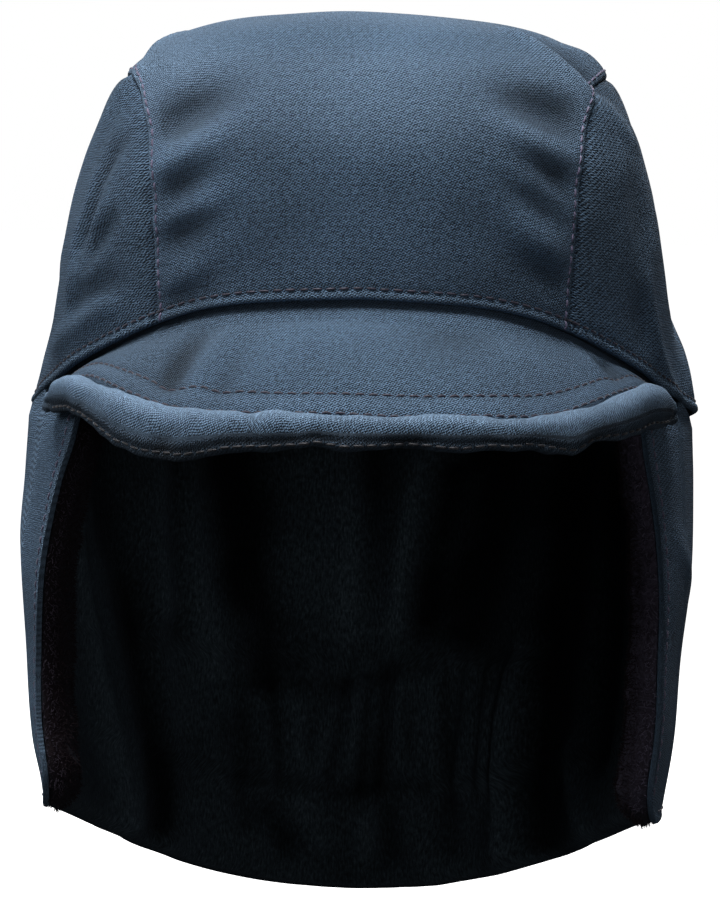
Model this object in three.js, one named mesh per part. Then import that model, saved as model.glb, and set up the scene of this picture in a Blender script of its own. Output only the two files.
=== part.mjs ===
import * as THREE from 'three';

// A lined work cap with a short peak and an ear and neck flap, in millimetres. The peak points along -Y.
// The origin is the middle of the head opening, at the height of the temples.

// Driving dimensions of the crown's outer form, which stands on a base just below the origin
const crown = { frontReach: 119, backReach: 112, height: 120, centreY: 5, baseZ: -9 };

// Half the width that the crown's sides lean in to, by height
const crownWidth = [
  { z: -9, half: 99.2 },
  { z: 13, half: 92.8 },
  { z: 39, half: 87.8 },
  { z: 63, half: 84 },
  { z: 76, half: 82.1 },
  { z: 92, half: 81.2 },
  { z: 114, half: 81 },
];

// How square the form is: 2 is an ellipse, more is boxier. The top arches a little from side to side
const square = { plan: 2.25, overTop: 7, gain: 2.2, frontProfile: 3.6, backProfile: 2.7 };
const topArch = 0.128;

// The crown's front bulges forward and up over its edge, most at one fan angle
const brow = { bulge: 20, fan: 40, spread: 16 };

// Thickness of the layers and the space between pieces
const layer = { cloth: 1.5, crownPile: 5, flapPile: 7, frontEdgePile: 9.5, peak: 2.6, gap: 0.4, seamGap: 0.6 };
const crownPileInset = 6.2;

// The crown's lower edge, by the angle round the head from the front
const crownEdge = [
  { turn: 0, z: 29.6 },
  { turn: 14, z: 28 },
  { turn: 22, z: 25.4 },
  { turn: 30, z: 20.6 },
  { turn: 38, z: 15.2 },
  { turn: 48, z: 9 },
  { turn: 60, z: 2 },
  { turn: 75, z: -4 },
  { turn: 95, z: -6.5 },
  { turn: 130, z: -8 },
  { turn: 180, z: -8 },
];
const turnedEdge = { height: 2.3, fade: 1.2, proud: 0.8 };

// Half the centre panel's width, by the fan angle from the front over the top to the back
const seam = [
  { fan: 10, x: 56.5 },
  { fan: 17, x: 57.6 },
  { fan: 25, x: 58.8 },
  { fan: 33, x: 60.2 },
  { fan: 40, x: 62.4 },
  { fan: 46, x: 64.6 },
  { fan: 53, x: 67.2 },
  { fan: 65, x: 70 },
  { fan: 80, x: 71.5 },
  { fan: 100, x: 71.5 },
  { fan: 125, x: 69.5 },
  { fan: 155, x: 63 },
  { fan: 190, x: 57 },
];

// Puckers that the seams draw into the centre panel, the same on both sides
const pucker = [
  { x: 51.5, z: 80, depth: 2.6, length: 14, width: 5.2, tilt: 25 },
  { x: 53, z: 61, depth: 1.4, length: 11, width: 4.3, tilt: 26 },
  { x: 51, z: 47, depth: 1.1, length: 11, width: 4.2, tilt: 24 },
  { x: 51, z: 36, depth: 0.7, length: 9, width: 4, tilt: 18 },
];

// Creases that run up and inwards from the seams' upper corners, with the cloth laid flat along the fan
const crease = { x: 58, fan: 49, depth: 2.2, length: 16, width: 6.5, heading: 135 };
const clothByFan = 2.6;

// Long drapes in the side panels, from the upper front corner down to the edge
const drape = [
  { topY: -101, lowY: -61, depth: 1.3, width: 7 },
  { topY: -78, lowY: -34, depth: -1.2, width: 9 },
  { topY: -48, lowY: 4, depth: 1.0, width: 10 },
  { topY: 40, lowY: 62, depth: 1.0, width: 10 },
];

// The flap's outer form below the crown, by height
const flapForm = [
  { z: -168, halfWidth: 91, frontReach: 108, backReach: 110 },
  { z: -145, halfWidth: 91.5, frontReach: 108, backReach: 107 },
  { z: -122, halfWidth: 93, frontReach: 110, backReach: 104 },
  { z: -98, halfWidth: 96.3, frontReach: 113, backReach: 105 },
  { z: -75, halfWidth: 98, frontReach: 116, backReach: 109 },
  { z: -50, halfWidth: 99.9, frontReach: 118, backReach: 111.5 },
  { z: -26, halfWidth: 99.8, frontReach: 119, backReach: 112.5 },
  { z: -9, halfWidth: 99.2, frontReach: 119, backReach: 112 },
];

// The flap's front edge, by height, as the angle round the head from the front
const flapFront = [
  { z: -170, turn: 66 },
  { z: -113, turn: 65 },
  { z: -98, turn: 65 },
  { z: -80, turn: 63 },
  { z: -62, turn: 59.5 },
  { z: -44, turn: 55.5 },
  { z: -26, turn: 51.5 },
  { z: -12, turn: 48 },
  { z: 6, turn: 46 },
];

// The flap's hem, by how far behind the origin it is
const flapHem = { atMiddle: -127, slope: -0.12, curve: -0.0018, cornerRadius: 17 };

// Elastic draws the nape in between two heights
const nape = { top: -92, bottom: -131, left: -42, right: 58, drawnIn: 3, ripple: 1.7, pitch: 14 };

// Folds that hang in the flap's back, placed by the arc from the middle of the back
const hangingFold = [
  { arc: -78, lean: -0.1, depth: 3, width: 7, top: -14, bottom: -170 },
  { arc: -36, lean: 0.16, depth: 4.5, width: 9, top: -20, bottom: -96 },
  { arc: 16, lean: 0.06, depth: 3.2, width: 6, top: -14, bottom: -98 },
  { arc: -14, lean: 0, depth: -2.6, width: 10, top: -14, bottom: -96 },
  { arc: 66, lean: 0.12, depth: 3.4, width: 8, top: -20, bottom: -170 },
  { arc: -24, lean: -0.5, depth: 2.4, width: 6, top: -128, bottom: -172 },
  { arc: 12, lean: 0.1, depth: 2.4, width: 5, top: -126, bottom: -172 },
];

// The peak's outline seen from above, and its rim by the angle round that outline
const peakOutline = { halfWidth: 91.5, reach: 105, centreY: -45, square: 2.3 };
const peakSpan = { crownTurn: 58, rimTurn: 80 };
const rim = [
  { turn: 0, top: -0.8, height: 9, depth: 7 },
  { turn: 18, top: -0.9, height: 9.6, depth: 7 },
  { turn: 32, top: -0.3, height: 12.7, depth: 7.4 },
  { turn: 46, top: 4.2, height: 12.6, depth: 7.4 },
  { turn: 57, top: 6.5, height: 12.2, depth: 7 },
  { turn: 68, top: 4.5, height: 10, depth: 5.5 },
  { turn: 80, top: -0.5, height: 5, depth: 2.4 },
];
const peakShape = { underCrown: 3.5, arch: 3, archFrom: 0.2, belowEdge: 0.5, aboveFlap: 8 };

const colour = { cloth: 0x2b3b4b, rim: 0x31435a, pile: 0x0c1014 };

const degree = Math.PI / 180;

// Smooth value from a table whose rows are in order of one column
function read(rows, by, of, at) {
  const last = rows.length - 1;
  if (at <= rows[0][by]) return rows[0][of];
  if (at >= rows[last][by]) return rows[last][of];
  let i = 0;
  while (rows[i + 1][by] < at) i += 1;
  const slope = (a, b) => (rows[b][of] - rows[a][of]) / (rows[b][by] - rows[a][by]);
  const before = i > 0 ? slope(i - 1, i + 1) : slope(i, i + 1);
  const after = i + 2 <= last ? slope(i, i + 2) : slope(i, i + 1);
  const width = rows[i + 1][by] - rows[i][by];
  const t = (at - rows[i][by]) / width;
  const rise = t * t * (3 - 2 * t);
  const lead = t * (1 - t) * (1 - t) * width * before;
  const trail = t * t * (t - 1) * width * after;
  return rows[i][of] + (rows[i + 1][of] - rows[i][of]) * rise + lead + trail;
}

const bell = (distance, width) => Math.exp(-((distance / width) ** 2));

// From 0 at one place to 1 at another, either way round
function step(zero, one, at) {
  const t = THREE.MathUtils.clamp((at - zero) / (one - zero), 0, 1);
  return t * t * (3 - 2 * t);
}

function spread(count, from = 0, to = 1) {
  return Array.from({ length: count + 1 }, (_, i) => from + ((to - from) * i) / count);
}

// The crown's half profile through the middle, as a distance from the fan's axis
function profileRadius(fan) {
  const front = Math.cos(fan) >= 0;
  const reach = front ? crown.frontReach : crown.backReach;
  const power = front ? square.frontProfile : square.backProfile;
  const along = (Math.abs(Math.cos(fan)) / reach) ** power;
  const up = (Math.abs(Math.sin(fan)) / crown.height) ** power;
  return (along + up) ** (-1 / power) + brow.bulge * bell(fan / degree - brow.fan, brow.spread);
}

const leanWidth = (z) => read(crownWidth, 'z', 'half', z);

function acrossPower(fan) {
  return square.plan + (square.overTop - square.plan) * Math.abs(Math.sin(fan)) ** square.gain;
}

// How far the top has come down from its middle, by the fan angle and the share of the half width
const archedBy = (fan, share) => 1 - topArch * (share * Math.sin(fan)) ** 2;

// Less than 1 inside the crown's form, 1 on it and more outside
function crownLevel(x, y, z) {
  const back = y - crown.centreY;
  const up = Math.max(z - crown.baseZ, 0);
  const fan = Math.atan2(up, -back);
  const power = acrossPower(fan);
  const share = Math.abs(x) / leanWidth(z);
  const radius = profileRadius(fan) * archedBy(fan, Math.min(share, 1));
  return share ** power + (Math.hypot(back, up) / radius) ** power;
}

// The same for the flap's form, which continues the crown's below its base
function flapLevel(x, y, z) {
  const back = y - crown.centreY;
  const reach = read(flapForm, 'z', back < 0 ? 'frontReach' : 'backReach', z);
  const wide = (Math.abs(x) / read(flapForm, 'z', 'halfWidth', z)) ** square.plan;
  return wide + (Math.abs(back) / reach) ** square.plan;
}

const level = (x, y, z) => (z > crown.baseZ ? crownLevel(x, y, z) : flapLevel(x, y, z));

function outward(p) {
  const d = 0.5;
  return new THREE.Vector3(
    level(p.x + d, p.y, p.z) - level(p.x - d, p.y, p.z),
    level(p.x, p.y + d, p.z) - level(p.x, p.y - d, p.z),
    level(p.x, p.y, p.z + d) - level(p.x, p.y, p.z - d),
  ).normalize();
}

// The point where a ray from a start along a direction leaves the form
function castOut(start, direction) {
  let near = 0;
  let far = 260;
  const p = new THREE.Vector3();
  for (let i = 0; i < 32; i += 1) {
    const middle = (near + far) / 2;
    p.copy(start).addScaledVector(direction, middle);
    if (level(p.x, p.y, p.z) < 1) near = middle;
    else far = middle;
  }
  return p;
}

const turnOf = (p) => Math.abs(Math.atan2(p.x, crown.centreY - p.y)) / degree;
const edgeHeight = (p) => read(crownEdge, 'turn', 'z', turnOf(p));

// The point on the form at a height, at an angle round the head from the front, plus to the right
function wallPoint(turn, z) {
  const direction = new THREE.Vector3(Math.sin(turn * degree), -Math.cos(turn * degree), 0);
  return castOut(new THREE.Vector3(0, crown.centreY, z), direction);
}

// The point on the crown at a fan angle and a distance across
function fanPoint(fan, x) {
  let z = 50;
  const p = new THREE.Vector3();
  for (let i = 0; i < 30; i += 1) {
    const power = acrossPower(fan);
    const ratio = Math.min(Math.abs(x) / leanWidth(z), 0.999);
    const radius = profileRadius(fan) * archedBy(fan, ratio) * (1 - ratio ** power) ** (1 / power);
    p.set(x, crown.centreY - radius * Math.cos(fan), crown.baseZ + radius * Math.sin(fan));
    z = (z + p.z) / 2;
  }
  return p;
}

// Relief of the crown, plus outwards
function crownRelief(p) {
  const side = Math.abs(p.x);
  let relief = 0;
  if (p.y < -30) {
    for (const dent of pucker) {
      const across = side - dent.x;
      const up = p.z - dent.z;
      const lean = dent.tilt * degree;
      const along = across * Math.cos(lean) - up * Math.sin(lean);
      const over = across * Math.sin(lean) + up * Math.cos(lean);
      relief -= dent.depth * bell(along, dent.length) * bell(over, dent.width) * step(-30, -50, p.y);
    }
  }
  if (p.z > 80) {
    const heading = crease.heading * degree;
    const fan = Math.atan2(p.z - crown.baseZ, crown.centreY - p.y) / degree;
    const across = side - crease.x;
    const back = (fan - crease.fan) * clothByFan;
    const along = across * Math.cos(heading) + back * Math.sin(heading);
    const over = across * Math.sin(heading) - back * Math.cos(heading);
    relief -= crease.depth * bell(along, crease.length) * bell(over, crease.width) * step(80, 90, p.z);
  }
  if (side > 55) {
    for (const fold of drape) {
      const y = THREE.MathUtils.lerp(fold.lowY, fold.topY, p.z / 92);
      relief -= fold.depth * bell(p.y - y, fold.width) * step(55, 72, side) * (1 - step(78, 96, p.z));
    }
  }
  return relief;
}

function turnedEdgeRelief(p) {
  const above = p.z - edgeHeight(p);
  return turnedEdge.proud * (1 - step(turnedEdge.height, turnedEdge.height + turnedEdge.fade, above));
}

// Relief of the flap, plus outwards
function flapRelief(p, atFront) {
  const arc = Math.sign(p.x) * (180 - turnOf(p)) * degree * 104;
  let relief = 0;
  for (const fold of hangingFold) {
    const place = fold.arc + fold.lean * (p.z + 60);
    const span = step(fold.top, fold.top - 22, p.z) * (1 - step(fold.bottom + 16, fold.bottom, p.z));
    relief -= fold.depth * bell(arc - place, fold.width) * span;
  }
  const band = step(nape.top + 6, nape.top - 4, p.z) * step(nape.bottom - 8, nape.bottom + 6, p.z);
  const width = step(nape.left - 14, nape.left + 10, arc) * (1 - step(nape.right - 10, nape.right + 14, arc));
  relief -= band * width * (nape.drawnIn + nape.ripple * Math.cos((2 * Math.PI * arc) / nape.pitch));
  return relief * (1 - atFront);
}

// A closed solid from points and faces of three or four corners
function solid(points, faces) {
  const index = [];
  for (const [a, b, c, d] of faces) {
    index.push(a, b, c);
    if (d !== undefined) index.push(a, c, d);
  }
  let volume = 0;
  const cross = new THREE.Vector3();
  for (let i = 0; i < index.length; i += 3) {
    cross.crossVectors(points[index[i + 1]], points[index[i + 2]]);
    volume += cross.dot(points[index[i]]);
  }
  if (volume < 0) index.reverse();
  const geometry = new THREE.BufferGeometry().setFromPoints(points);
  geometry.setIndex(index);
  geometry.computeVertexNormals();
  return geometry;
}

// A sheet with thickness, from an outer and an inner grid of points of the same size
function sheetSolid(outer, inner) {
  const rows = outer.length;
  const columns = outer[0].length;
  const points = [...outer.flat(), ...inner.flat()];
  const out = (r, c) => r * columns + c;
  const into = (r, c) => (rows + r) * columns + c;
  const faces = [];
  for (let r = 0; r + 1 < rows; r += 1) {
    for (let c = 0; c + 1 < columns; c += 1) {
      faces.push([out(r, c), out(r, c + 1), out(r + 1, c + 1), out(r + 1, c)]);
      faces.push([into(r, c), into(r + 1, c), into(r + 1, c + 1), into(r, c + 1)]);
    }
    const end = columns - 1;
    faces.push([out(r, 0), out(r + 1, 0), into(r + 1, 0), into(r, 0)]);
    faces.push([out(r, end), into(r, end), into(r + 1, end), out(r + 1, end)]);
  }
  for (let c = 0; c + 1 < columns; c += 1) {
    const end = rows - 1;
    faces.push([out(0, c), into(0, c), into(0, c + 1), out(0, c + 1)]);
    faces.push([out(end, c), out(end, c + 1), into(end, c + 1), into(end, c)]);
  }
  return solid(points, faces);
}

// A dome with thickness, from rings of outer and inner points that close at one top point each
function domeSolid(outer, inner, outerTop, innerTop) {
  const columns = outer[0].length;
  const rows = outer.length;
  const points = [...outer.flat(), ...inner.flat(), outerTop, innerTop];
  const out = (r, c) => r * columns + (c % columns);
  const into = (r, c) => (rows + r) * columns + (c % columns);
  const faces = [];
  for (let c = 0; c < columns; c += 1) {
    for (let r = 0; r + 1 < rows; r += 1) {
      faces.push([out(r, c), out(r, c + 1), out(r + 1, c + 1), out(r + 1, c)]);
      faces.push([into(r, c), into(r + 1, c), into(r + 1, c + 1), into(r, c + 1)]);
    }
    faces.push([out(rows - 1, c), out(rows - 1, c + 1), points.length - 2]);
    faces.push([into(rows - 1, c + 1), into(rows - 1, c), points.length - 1]);
    faces.push([out(0, c), into(0, c), into(0, c + 1), out(0, c + 1)]);
  }
  return solid(points, faces);
}

// A bar with closed ends, from rings of points along it
function barSolid(rings) {
  const columns = rings[0].length;
  const middle = (ring) => ring.reduce((sum, p) => sum.add(p), new THREE.Vector3()).divideScalar(columns);
  const points = [...rings.flat(), middle(rings[0]), middle(rings.at(-1))];
  const at = (r, c) => r * columns + (c % columns);
  const last = rings.length - 1;
  const faces = [];
  for (let c = 0; c < columns; c += 1) {
    for (let r = 0; r < last; r += 1) {
      faces.push([at(r, c), at(r, c + 1), at(r + 1, c + 1), at(r + 1, c)]);
    }
    faces.push([at(0, c + 1), at(0, c), points.length - 2]);
    faces.push([at(last, c), at(last, c + 1), points.length - 1]);
  }
  return solid(points, faces);
}

// The crown's two faces at a point on its form: the cloth's outside and inside
function crownCloth(p) {
  const normal = outward(p);
  const relief = crownRelief(p);
  const outer = p.clone().addScaledVector(normal, relief + turnedEdgeRelief(p));
  return [outer, p.clone().addScaledVector(normal, relief - layer.cloth)];
}

function clothSheet(grid) {
  const pairs = grid.map((row) => row.map(crownCloth));
  const face = (i) => pairs.map((row) => row.map((pair) => pair[i]));
  return sheetSolid(face(0), face(1));
}

// The fan angle where a line on the crown meets the lower edge, found from a first guess
function edgeFan(share, inset, guess) {
  let fan = guess;
  for (let i = 0; i < 30; i += 1) {
    const x = share * (read(seam, 'fan', 'x', fan / degree) - inset);
    const p = fanPoint(fan, x);
    fan = Math.atan2(edgeHeight(p) - crown.baseZ, crown.centreY - p.y);
  }
  return fan;
}

// Places along a line that has a turned edge at one or both ends
function withEdge(count, length, bothEnds) {
  const near = [0, turnedEdge.height / length, (turnedEdge.height + turnedEdge.fade) / length];
  const far = bothEnds ? [...near].reverse().map((t) => 1 - t) : [1];
  const start = near[2] + 0.02;
  const end = far[0] - (bothEnds ? 0.02 : 1 / count);
  return [...near, ...spread(count - 2, start, end), ...far];
}

function centrePanel() {
  const shares = [-1, -0.93, -0.84, -0.72, -0.56, -0.34, 0, 0.34, 0.56, 0.72, 0.84, 0.93, 1];
  const places = withEdge(30, 330, true);
  const limits = shares.map((share) => [
    edgeFan(share, layer.seamGap / 2, 17 * degree),
    edgeFan(share, layer.seamGap / 2, 180 * degree),
  ]);
  return clothSheet(places.map((t) => shares.map((share, i) => {
    const fan = THREE.MathUtils.lerp(limits[i][0], limits[i][1], t);
    return fanPoint(fan, share * (read(seam, 'fan', 'x', fan / degree) - layer.seamGap / 2));
  })));
}

// A side panel: its four edges are the crown's lower edge and three stretches of the seam
function sidePanel(side) {
  const rows = withEdge(11, 110, false);
  const columns = spread(20);
  const frontFan = edgeFan(1, -layer.seamGap / 2, 17 * degree);
  const backFan = edgeFan(1, -layer.seamGap / 2, 180 * degree);
  const corner = { front: 62 * degree, back: 128 * degree };
  const seamPoint = (fan) => fanPoint(fan, read(seam, 'fan', 'x', fan / degree) + layer.seamGap / 2);
  const frontTurn = turnOf(seamPoint(frontFan));
  const backTurn = turnOf(seamPoint(backFan));
  const low = (u) => {
    const turn = THREE.MathUtils.lerp(frontTurn, backTurn, u);
    return wallPoint(turn, read(crownEdge, 'turn', 'z', turn));
  };
  const front = (v) => seamPoint(THREE.MathUtils.lerp(frontFan, corner.front, v));
  const back = (v) => seamPoint(THREE.MathUtils.lerp(backFan, corner.back, v));
  const top = (u) => seamPoint(THREE.MathUtils.lerp(corner.front, corner.back, u));
  const edges = { low: columns.map(low), top: columns.map(top), front: rows.map(front), back: rows.map(back) };
  const end = columns.length - 1;
  const blend = (k, u, v, c, r) => {
    const across = (1 - v) * edges.low[c][k] + v * edges.top[c][k];
    const along = (1 - u) * edges.front[r][k] + u * edges.back[r][k];
    const lower = (1 - u) * edges.low[0][k] + u * edges.low[end][k];
    const upper = (1 - u) * edges.top[0][k] + u * edges.top[end][k];
    return across + along - (1 - v) * lower - v * upper;
  };
  const sideways = new THREE.Vector3(1, 0, 0);
  return clothSheet(rows.map((v, r) => columns.map((u, c) => {
    const p = castOut(new THREE.Vector3(0, blend('y', u, v, c, r), blend('z', u, v, c, r)), sideways);
    p.x *= side;
    return p;
  })));
}

function crownLining() {
  const turns = spread(36, 0, 360).slice(0, -1);
  const rises = spread(9).slice(0, -1);
  const start = new THREE.Vector3(0, crown.centreY, crown.baseZ);
  const place = (p, inset) => p.clone().addScaledVector(outward(p), -inset);
  const rings = rises.map((rise) => turns.map((turn) => {
    const flatTurn = turn > 180 ? turn - 360 : turn;
    const low = wallPoint(flatTurn, read(crownEdge, 'turn', 'z', Math.abs(flatTurn)));
    const lowAngle = Math.atan2(low.z - start.z, Math.hypot(low.x, low.y - start.y));
    const angle = THREE.MathUtils.lerp(lowAngle, Math.PI / 2, rise);
    const flat = new THREE.Vector3(low.x, low.y - start.y, 0).normalize();
    const direction = flat.multiplyScalar(Math.cos(angle)).setZ(Math.sin(angle));
    return rise === 0 ? low : castOut(start, direction);
  }));
  const top = castOut(start, new THREE.Vector3(0, 0, 1));
  const insets = [crownPileInset, crownPileInset + layer.crownPile];
  const [outer, inner] = insets.map((inset) => rings.map((ring) => ring.map((p) => place(p, inset))));
  const [outerTop, innerTop] = insets.map((inset) => place(top, inset));
  return domeSolid(outer, inner, outerTop, innerTop);
}

// Grid of points on the flap's form, from its left front edge round the back to its right front edge
function flapGrid() {
  const nearEdge = [1, 0.985, 0.96, 0.93, 0.89];
  const shares = [
    ...nearEdge.map((share) => -share),
    ...spread(7, -0.8, -0.28).slice(0, -1),
    ...spread(25, -0.28, 0.4),
    ...spread(5, 0.4, 0.8).slice(1),
    ...nearEdge.reverse(),
  ];
  const rows = spread(12);
  return rows.map((row) => shares.map((share) => {
    const p = new THREE.Vector3();
    let z = THREE.MathUtils.lerp(-2, -130, row);
    for (let i = 0; i < 12; i += 1) {
      const front = read(flapFront, 'z', 'turn', z);
      const turn = 180 - Math.abs(share) * (180 - front);
      p.copy(wallPoint(Math.sign(share) * turn || 180, z));
      const fromFront = (turn - front) * degree * 100;
      const missing = THREE.MathUtils.clamp(1 - fromFront / flapHem.cornerRadius, 0, 1);
      const round = flapHem.cornerRadius * (1 - Math.sqrt(1 - missing ** 2));
      const hem = flapHem.atMiddle + flapHem.slope * p.y + flapHem.curve * p.y ** 2 + round;
      const underPeak = peakShape.aboveFlap * (1 - step(59.5, 64, turn));
      const top = read(crownEdge, 'turn', 'z', turn) - layer.gap - underPeak;
      z = THREE.MathUtils.lerp(top, hem, row);
    }
    return { p, atFront: step(22, 4, (1 - Math.abs(share)) * 210) };
  }));
}

function flapLayer(grid, from, thickness) {
  const face = (inset) => grid.map((row) => row.map(({ p, atFront }) => {
    return p.clone().addScaledVector(outward(p), flapRelief(p, atFront) - inset(atFront));
  }));
  return sheetSolid(face(() => from), face((atFront) => from + thickness(atFront)));
}

// A point of the peak's outline seen from above
function outlinePoint(turn) {
  const { halfWidth, reach, centreY, square: power } = peakOutline;
  const wide = (Math.abs(Math.sin(turn * degree)) / halfWidth) ** power;
  const far = (Math.cos(turn * degree) / reach) ** power;
  const radius = (wide + far) ** (-1 / power);
  return new THREE.Vector3(radius * Math.sin(turn * degree), centreY - radius * Math.cos(turn * degree), 0);
}

// The rim's frame at a share of the way from the middle: its top inner corner and its size
function rimFrame(share) {
  const turn = share * peakSpan.rimTurn;
  const edge = outlinePoint(turn);
  const ahead = outlinePoint(turn + 0.5).sub(outlinePoint(turn - 0.5)).normalize();
  const out = new THREE.Vector3(ahead.y, -ahead.x, 0);
  const size = (of) => read(rim, 'turn', of, Math.abs(turn));
  edge.z = size('top');
  return { edge, out, height: size('height'), depth: size('depth') };
}

// The peak's upper face from under the crown's edge to the back of its rim
function peakPoint(share, along) {
  const turn = share * peakSpan.crownTurn;
  const start = wallPoint(turn, read(crownEdge, 'turn', 'z', Math.abs(turn)) - peakShape.belowEdge);
  start.addScaledVector(outward(start), -peakShape.underCrown);
  const { edge, out, depth } = rimFrame(share);
  const end = edge.clone().addScaledVector(out, -depth - layer.gap);
  end.z -= 0.6;
  const p = start.clone().lerp(end, along);
  const past = Math.max(0, along - peakShape.archFrom) / (1 - peakShape.archFrom);
  p.z += peakShape.arch * Math.sin(Math.PI * past) * (1 - share ** 2);
  return p;
}

function peakPanel() {
  const shares = spread(26, -1, 1);
  const places = spread(6);
  const faces = [0, layer.peak].map((down) => places.map((along) => shares.map((share) => {
    const p = peakPoint(share, along);
    p.z -= down;
    return p;
  })));
  return sheetSolid(faces[0], faces[1]);
}

// The rolled rim: a rounded section that stands a little above the peak and hangs below it
function peakRim() {
  const section = spread(9, 0, 324).map((a) => [Math.cos(a * degree), Math.sin(a * degree)]);
  const shares = spread(30, -1, 1);
  const ends = 0.93;
  const soft = 0.78;
  return barSolid(shares.map((share) => {
    const { edge, out, height, depth } = rimFrame(share);
    const past = Math.max(0, Math.abs(share) - ends) / (1 - ends);
    const shrink = 0.5 + 0.5 * Math.sqrt(1 - past ** 2);
    return section.map(([across, up]) => {
      const a = Math.sign(across) * Math.abs(across) ** soft;
      const b = Math.sign(up) * Math.abs(up) ** soft;
      const p = edge.clone().addScaledVector(out, -depth / 2 + (a * shrink * depth) / 2);
      p.z += -height / 2 + (b * shrink * height) / 2;
      return p;
    });
  }));
}

function piece(name, geometry, color, roughness) {
  const material = new THREE.MeshStandardMaterial({ color, roughness, metalness: 0 });
  const mesh = new THREE.Mesh(geometry, material);
  mesh.name = name;
  return mesh;
}

const flap = flapGrid();
const pileStart = layer.cloth + layer.gap;
const pileDepth = (atFront) => THREE.MathUtils.lerp(layer.flapPile, layer.frontEdgePile, atFront);

const cap = new THREE.Group();
cap.add(
  piece('crown_centre_panel', centrePanel(), colour.cloth, 0.85),
  piece('crown_side_panel_left', sidePanel(-1), colour.cloth, 0.85),
  piece('crown_side_panel_right', sidePanel(1), colour.cloth, 0.85),
  piece('crown_lining', crownLining(), colour.pile, 1),
  piece('peak_panel', peakPanel(), colour.cloth, 0.85),
  piece('peak_rim', peakRim(), colour.rim, 0.85),
  piece('flap_shell', flapLayer(flap, 0, () => layer.cloth), colour.cloth, 0.85),
  piece('flap_lining', flapLayer(flap, pileStart, pileDepth), colour.pile, 1),
);

export default cap;
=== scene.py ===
import math
import bpy
import numpy as np
from mathutils import Matrix, Vector


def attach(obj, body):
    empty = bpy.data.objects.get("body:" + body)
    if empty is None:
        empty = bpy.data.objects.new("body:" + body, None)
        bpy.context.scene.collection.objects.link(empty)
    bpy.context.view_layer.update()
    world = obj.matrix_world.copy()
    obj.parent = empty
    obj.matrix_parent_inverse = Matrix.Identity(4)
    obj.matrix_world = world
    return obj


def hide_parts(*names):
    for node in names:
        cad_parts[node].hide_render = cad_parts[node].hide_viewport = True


# Lined work cap with a short peak and an ear and neck flap.
# Shapes are worked out in millimetres and become metres when a mesh is made.

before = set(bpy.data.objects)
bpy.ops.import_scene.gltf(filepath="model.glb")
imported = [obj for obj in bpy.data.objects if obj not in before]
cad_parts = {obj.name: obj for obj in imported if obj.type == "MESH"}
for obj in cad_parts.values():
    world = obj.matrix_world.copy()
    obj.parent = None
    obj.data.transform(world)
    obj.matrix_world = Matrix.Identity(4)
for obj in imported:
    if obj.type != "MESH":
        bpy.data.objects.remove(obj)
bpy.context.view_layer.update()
print("frame loaded, nodes:", sorted(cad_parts))

mm = 0.001

# the camera of the photograph and the light
cameraSet = {"distance": 1.4, "elevation": 3.0, "roll": 1.2, "aim": (0, 0, -0.018), "lens": 186.7}
lightSet = [
    # name, place, size, watts
    ("overheadSoftbox", (-0.22, -0.6, 1.32), 0.8, 32),
    ("leftSoftbox", (-1.5, -0.6, 0.8), 0.8, 8),
    ("frontSoftbox", (0.45, -2.1, 0.1), 0.8, 3.6),
    ("backSoftbox", (0.3, 1.7, 0.9), 1.2, 12),
]
stageSet = {
    "floorHeight": -0.3, "radius": 60.0, "sides": 64, "pale": 0.86, "glow": 1.05,
    "worldLight": 0.03, "worldSeen": 1.0, "sky": (0.93, 0.97, 1.0, 1), "lampsAimAt": (0, 0, -0.03),
}

# how the whole form is made: the crown stands on a base just below the head opening
crownForm = {"frontReach": 119, "backReach": 112, "height": 120, "centreY": 5, "baseZ": -9}
leanTable = {"z": [-9, 13, 39, 63, 76, 92, 114], "half": [99.2, 92.8, 87.8, 84, 82.1, 81.2, 81]}
squareness = {
    "plan": 2.25, "overTop": 7, "gain": 2.2, "frontProfile": 3.6, "backProfile": 2.7, "topArch": 0.128,
}
brow = {"bulge": 20, "fan": 40, "spread": 16}
edgeTable = {
    "turn": [0, 14, 22, 30, 38, 48, 60, 75, 95, 130, 180],
    "z": [29.6, 28, 25.4, 20.6, 15.2, 9, 2, -4, -6.5, -8, -8],
}
seamTable = {
    "fan": [10, 17, 25, 33, 40, 46, 53, 65, 80, 100, 125, 155, 190],
    "x": [56.5, 57.6, 58.8, 60.2, 62.4, 64.6, 67.2, 70, 71.5, 71.5, 69.5, 63, 57],
}
flapFormTable = {
    "z": [-168, -145, -122, -98, -75, -50, -26, -9],
    "half": [91, 91.5, 93, 96.3, 98, 99.9, 99.8, 99.2],
    "front": [108, 108, 110, 113, 116, 118, 119, 119],
    "back": [110, 107, 104, 105, 109, 111.5, 112.5, 112],
}
flapFrontTable = {  # the left front edge is drawn a little further round than the right one
    "z": [-170, -113, -98, -80, -62, -44, -26, -12, 6],
    "left": [70, 70, 70.5, 68, 63, 58, 52.5, 48, 46],
    "right": [62, 60.5, 60, 58, 56, 53, 50, 47.5, 46],
}
cloth = {"thick": 1.5, "gap": 0.4, "turnIn": 3}


def readTable(table, by, of, at):
    x, y = np.asarray(table[by], float), np.asarray(table[of], float)
    at = np.clip(np.asarray(at, float), x[0], x[-1])
    i = np.clip(np.searchsorted(x, at) - 1, 0, len(x) - 2)
    slope = np.empty_like(y)
    slope[1:-1] = (y[2:] - y[:-2]) / (x[2:] - x[:-2])
    slope[0], slope[-1] = (y[1] - y[0]) / (x[1] - x[0]), (y[-1] - y[-2]) / (x[-1] - x[-2])
    width = x[i + 1] - x[i]
    t = (at - x[i]) / width
    rise = t * t * (3 - 2 * t)
    bend = t * (1 - t) ** 2 * width * slope[i] + t * t * (t - 1) * width * slope[i + 1]
    return y[i] + (y[i + 1] - y[i]) * rise + bend


def bell(distance, width):
    return np.exp(-((distance / width) ** 2))


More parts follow.
